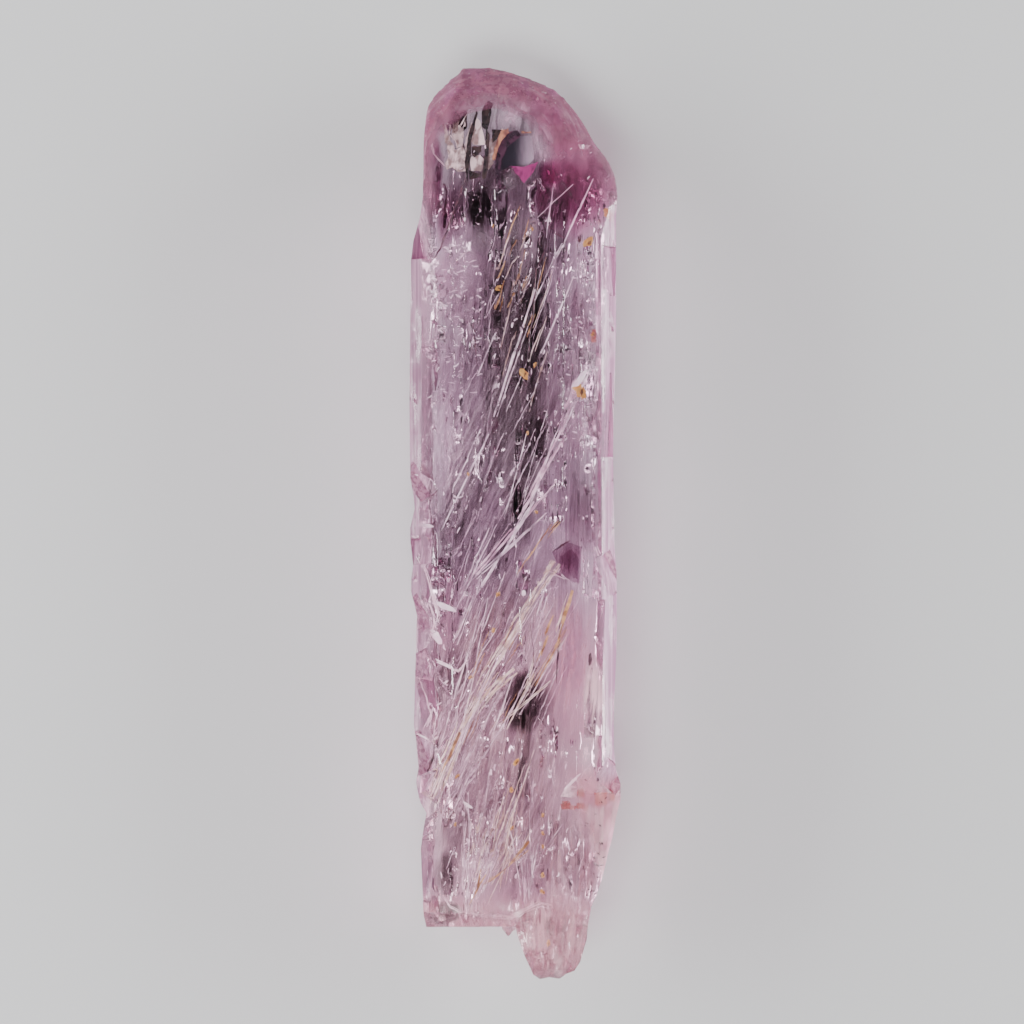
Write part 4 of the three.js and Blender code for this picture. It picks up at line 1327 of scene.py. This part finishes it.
# The grey pane, with painted light and shade.
GREY_PANE = [
    (2.3, [
        (0.3, 50.4), (2.1, 50.4), (2.3, 47.4), (1.5, 46.4),
        (-0.8, 46.3), (-1.9, 45.9), (-1.8, 47.4), (-0.8, 49.2),
    ]),
]
panes("grey_pane_painted_light", grey_painted_light_material(), GREY_PANE)

# The magenta patch under the grey pane.
MAGENTA_PANE = [
    (1.9, [(-0.7, 46.5), (1.0, 46.3), (2.9, 47.0), (2.2, 45.6), (1.1, 44.2), (0.3, 45.3)]),
]
material = pane_material(
    "magenta_pane",
    bright=(0.34, 0.05, 0.19, 1),
    dull=(0.20, 0.03, 0.11, 1),
    scale=500,
    least=0.6,
    roughness=0.5,
)
panes("magenta_panes", material, MAGENTA_PANE)

# Rounded bulges of the back, dull with frost, and a wide patch in the window. Their dark grey is painted
# shade.
GREY_LENSES = [
    ((-4.7, 36.8, 10.4), (2.0, 2.1), 0, 0, 1.0),
    ((-0.6, 44.6, 10.4), (1.1, 1.4), 0, 0, 1.0),
    ((-0.2, 38.0, 10.0), (0.9, 1.6), 10, 0, 0.9),
    ((-3.0, 45.0, 5.0), (6.0, 3.0), 0, 0, 0.5),
]
material = cloudy_film(
    "grey_frost_and_shade", (0.12, 0.10, 0.11, 1), fine=0.8, along=0.5, lean=0.0, most=1.0, least=0.6
)
films("grey_lenses", material, GREY_LENSES)

# Pale clouds beside the window and above it.
PALE_CLOUDS = [
    ((0.4, 54.0, 9.4), (3.0, 1.3), 16, 0, 1.0),
    ((3.4, 52.4, 9.2), (2.0, 1.0), -40, 0, 0.9),
    ((3.6, 49.4, 9.6), (2.0, 3.2), 4, 0, 1.0),
    ((6.6, 49.4, 9.0), (3.0, 1.6), -20, 0, 0.6),
    ((-1.0, 52.6, 9.2), (1.8, 1.2), 0, 0, 0.7),
]
material = cloudy_film(
    "pale_cloud", (0.64, 0.48, 0.57, 1), fine=1.2, along=0.5, lean=0.0, most=0.9, least=0.35
)
films("pale_clouds", material, PALE_CLOUDS)

# ================================================================ the iron stains
# Iron oxide has settled in etch pits near the front: golden spots with a dark core, and rusty blocks
# along the low right side.

# Each spot: its place and its size (mm).
SPOTS = [
    (8.5, 17.2, 1.3), (1.1, 19.4, 0.9), (2.6, 20.6, 0.4), (1.6, 11.7, 0.35), (10.1, 24.6, 0.4),
    (-6.1, 6.3, 0.3), (12.2, 40.2, 1.1), (9.5, 36.6, 1.0), (2.2, 38.4, 0.4), (-2.8, 38.7, 0.3),
    (-2.2, 30.6, 0.55), (2.8, 1.4, 0.35), (-2.2, -9.3, 0.45), (-2.8, -14.0, 0.4), (-5.8, -20.1, 0.4),
    (-7.5, -33.0, 0.4), (0.1, -31.2, 0.6), (-0.5, -34.8, 0.45), (-0.4, -39.8, 0.4),
    (-7.8, -39.3, 0.35), (3.6, -38.1, 0.35), (3.6, -40.5, 0.35),
    (3.6, -42.2, 0.35), (3.6, -45.9, 0.45), (3.6, -48.1, 0.45), (4.2, -54.8, 0.5),
]


def lump(mesh, centre, radii, turn):
    """A small, uneven, closed lump (mm)."""
    made = bmesh.ops.create_icosphere(mesh, subdivisions=2, radius=1)["verts"]
    c, s = math.cos(math.radians(turn)), math.sin(math.radians(turn))
    for v in made:
        p = v.co * (1 + 0.8 * noise.noise(v.co * 1.7 + Vector(centre)))
        p = Vector((p.x * radii[0], p.y * radii[1], p.z * radii[2]))
        v.co = (Vector(centre) + Vector((c * p.x - s * p.y, s * p.x + c * p.y, p.z))) * MM


def halos(mesh):
    for x, y, size in SPOTS:
        lump(mesh, under(x, y, 0.75), (size * 0.5, size * 0.8, 0.25), draw.uniform(-50, 50))


def cores(mesh):
    for x, y, size in SPOTS:
        centre = under(x + 0.2 * size, y - 0.1 * size, 0.55)
        lump(mesh, centre, (size * 0.16, size * 0.34, 0.12), draw.uniform(-60, 60))


def stain_material(name, pale, deep, least):
    material, tree = new_material(name)
    place = tree.place()
    mottle = place.noise(2200, 2)
    colour = mottle.rise(0.4, 0.6).pick(pale, deep)
    stain = tree.node("ShaderNodeBsdfPrincipled", {}, {"Base Color": colour, "Roughness": 0.35})
    finish_partly(tree, least + (1 - least) * mottle.rise(0.42, 0.6), stain)
    return material


material = stain_material("iron_gold", pale=(0.88, 0.61, 0.18, 1), deep=(0.50, 0.26, 0.05, 1), least=0.45)
filled("iron_halos", material, halos, smooth=False)
material = stain_material("iron_brown", pale=(0.16, 0.06, 0.02, 1), deep=(0.05, 0.02, 0.01, 1), least=0.8)
filled("iron_cores", material, cores, smooth=False)

# Blocks of rust-red skin on growth steps, most of them low on the right: left, bottom, width, height (mm).
RUSTY = [
    (6.0, -37.3, 1.6, 1.0),
    (8.0, -37.2, 1.2, 0.6),
    (8.1, -35.6, 0.8, 0.8),
    (10.4, -36.7, 1.4, 1.8),
    (12.2, -36.3, 0.6, 1.6),
    (9.9, 23.6, 0.6, 1.6),
]


def rusty_blocks(mesh):
    for x, y, wide, tall in RUSTY:
        for _ in range(4):
            left, low = x + draw.uniform(-0.15, 0.15), y + draw.uniform(-0.15, 0.15)
            right, high = left + wide * draw.uniform(0.6, 1.1), low + tall * draw.uniform(0.5, 1.1)
            pane(mesh, [(left, low), (right, low), (right, high), (left, high)], draw.uniform(0.6, 1.2))


material = stain_material("rust", pale=(0.52, 0.21, 0.19, 1), deep=(0.40, 0.13, 0.13, 1), least=0.4)
filled("rusty_blocks", material, rusty_blocks, smooth=False)

# ================================================================ the stage
# A plain pale floor under plain soft light: two broad panels at the sides, low enough to light the
# crystal through its edges, and one overhead, which no polished face mirrors.
floor_mesh = bmesh.new()
bmesh.ops.create_grid(floor_mesh, x_segments=1, y_segments=1, size=1.5)
floor_data = bpy.data.meshes.new("floor")
floor_mesh.to_mesh(floor_data)
floor_mesh.free()
floor = bpy.data.objects.new("floor", floor_data)
floor.location.z = -0.2 * MM  # a hair under the crystal, so that the two faces don't share a plane
bpy.context.scene.collection.objects.link(floor)
floor_material, tree = new_material("floor")
paper = tree.node("ShaderNodeBsdfPrincipled", {}, {"Base Color": (0.62, 0.62, 0.63, 1), "Roughness": 0.9})
tree.node("ShaderNodeOutputMaterial", {}, {"Surface": paper})
floor_data.materials.append(floor_material)


def soft_panel(name, place, size, power, mirrored=True):
    lamp = bpy.data.lights.new(name, "AREA")
    lamp.shape = "RECTANGLE"
    lamp.size, lamp.size_y = size
    lamp.energy = power
    panel = bpy.data.objects.new(name, lamp)
    panel.location = place
    panel.rotation_euler = (-Vector(place)).to_track_quat("-Z", "Y").to_euler()
    panel.visible_camera = False
    panel.visible_glossy = mirrored
    bpy.context.scene.collection.objects.link(panel)


soft_panel("panel_left", (-0.45, 0.05, 0.11), (0.5, 0.18), 6.0)
soft_panel("panel_right", (0.45, 0.06, 0.10), (0.4, 0.16), 5.0)
soft_panel("panel_over", (-0.15, -0.35, 0.6), (0.5, 0.3), 5.0, mirrored=False)

sky = bpy.data.worlds.new("studio")
sky.use_nodes = True
light = sky.node_tree.nodes["Background"].inputs
light["Color"].default_value = (0.8, 0.85, 0.9, 1)
light["Strength"].default_value = 0.06
bpy.context.scene.world = sky
bpy.context.scene.cycles.transparent_max_bounces = 24  # rays cross many thin veils and tubes

# The view straight down on the crystal, its rounded end up.
LENGTH = 120 * MM
SHARE = 911 / 1024  # of the picture's height that the crystal takes up
LENS = 150
SENSOR = 36
camera_data = bpy.data.cameras.new("camera")
camera_data.lens = LENS
camera_data.sensor_width = SENSOR
camera = bpy.data.objects.new("camera", camera_data)
camera.location = (-0.4 * MM, 1.4 * MM, 6.5 * MM + LENGTH / SHARE * LENS / SENSOR)
bpy.context.scene.collection.objects.link(camera)
bpy.context.scene.camera = camera
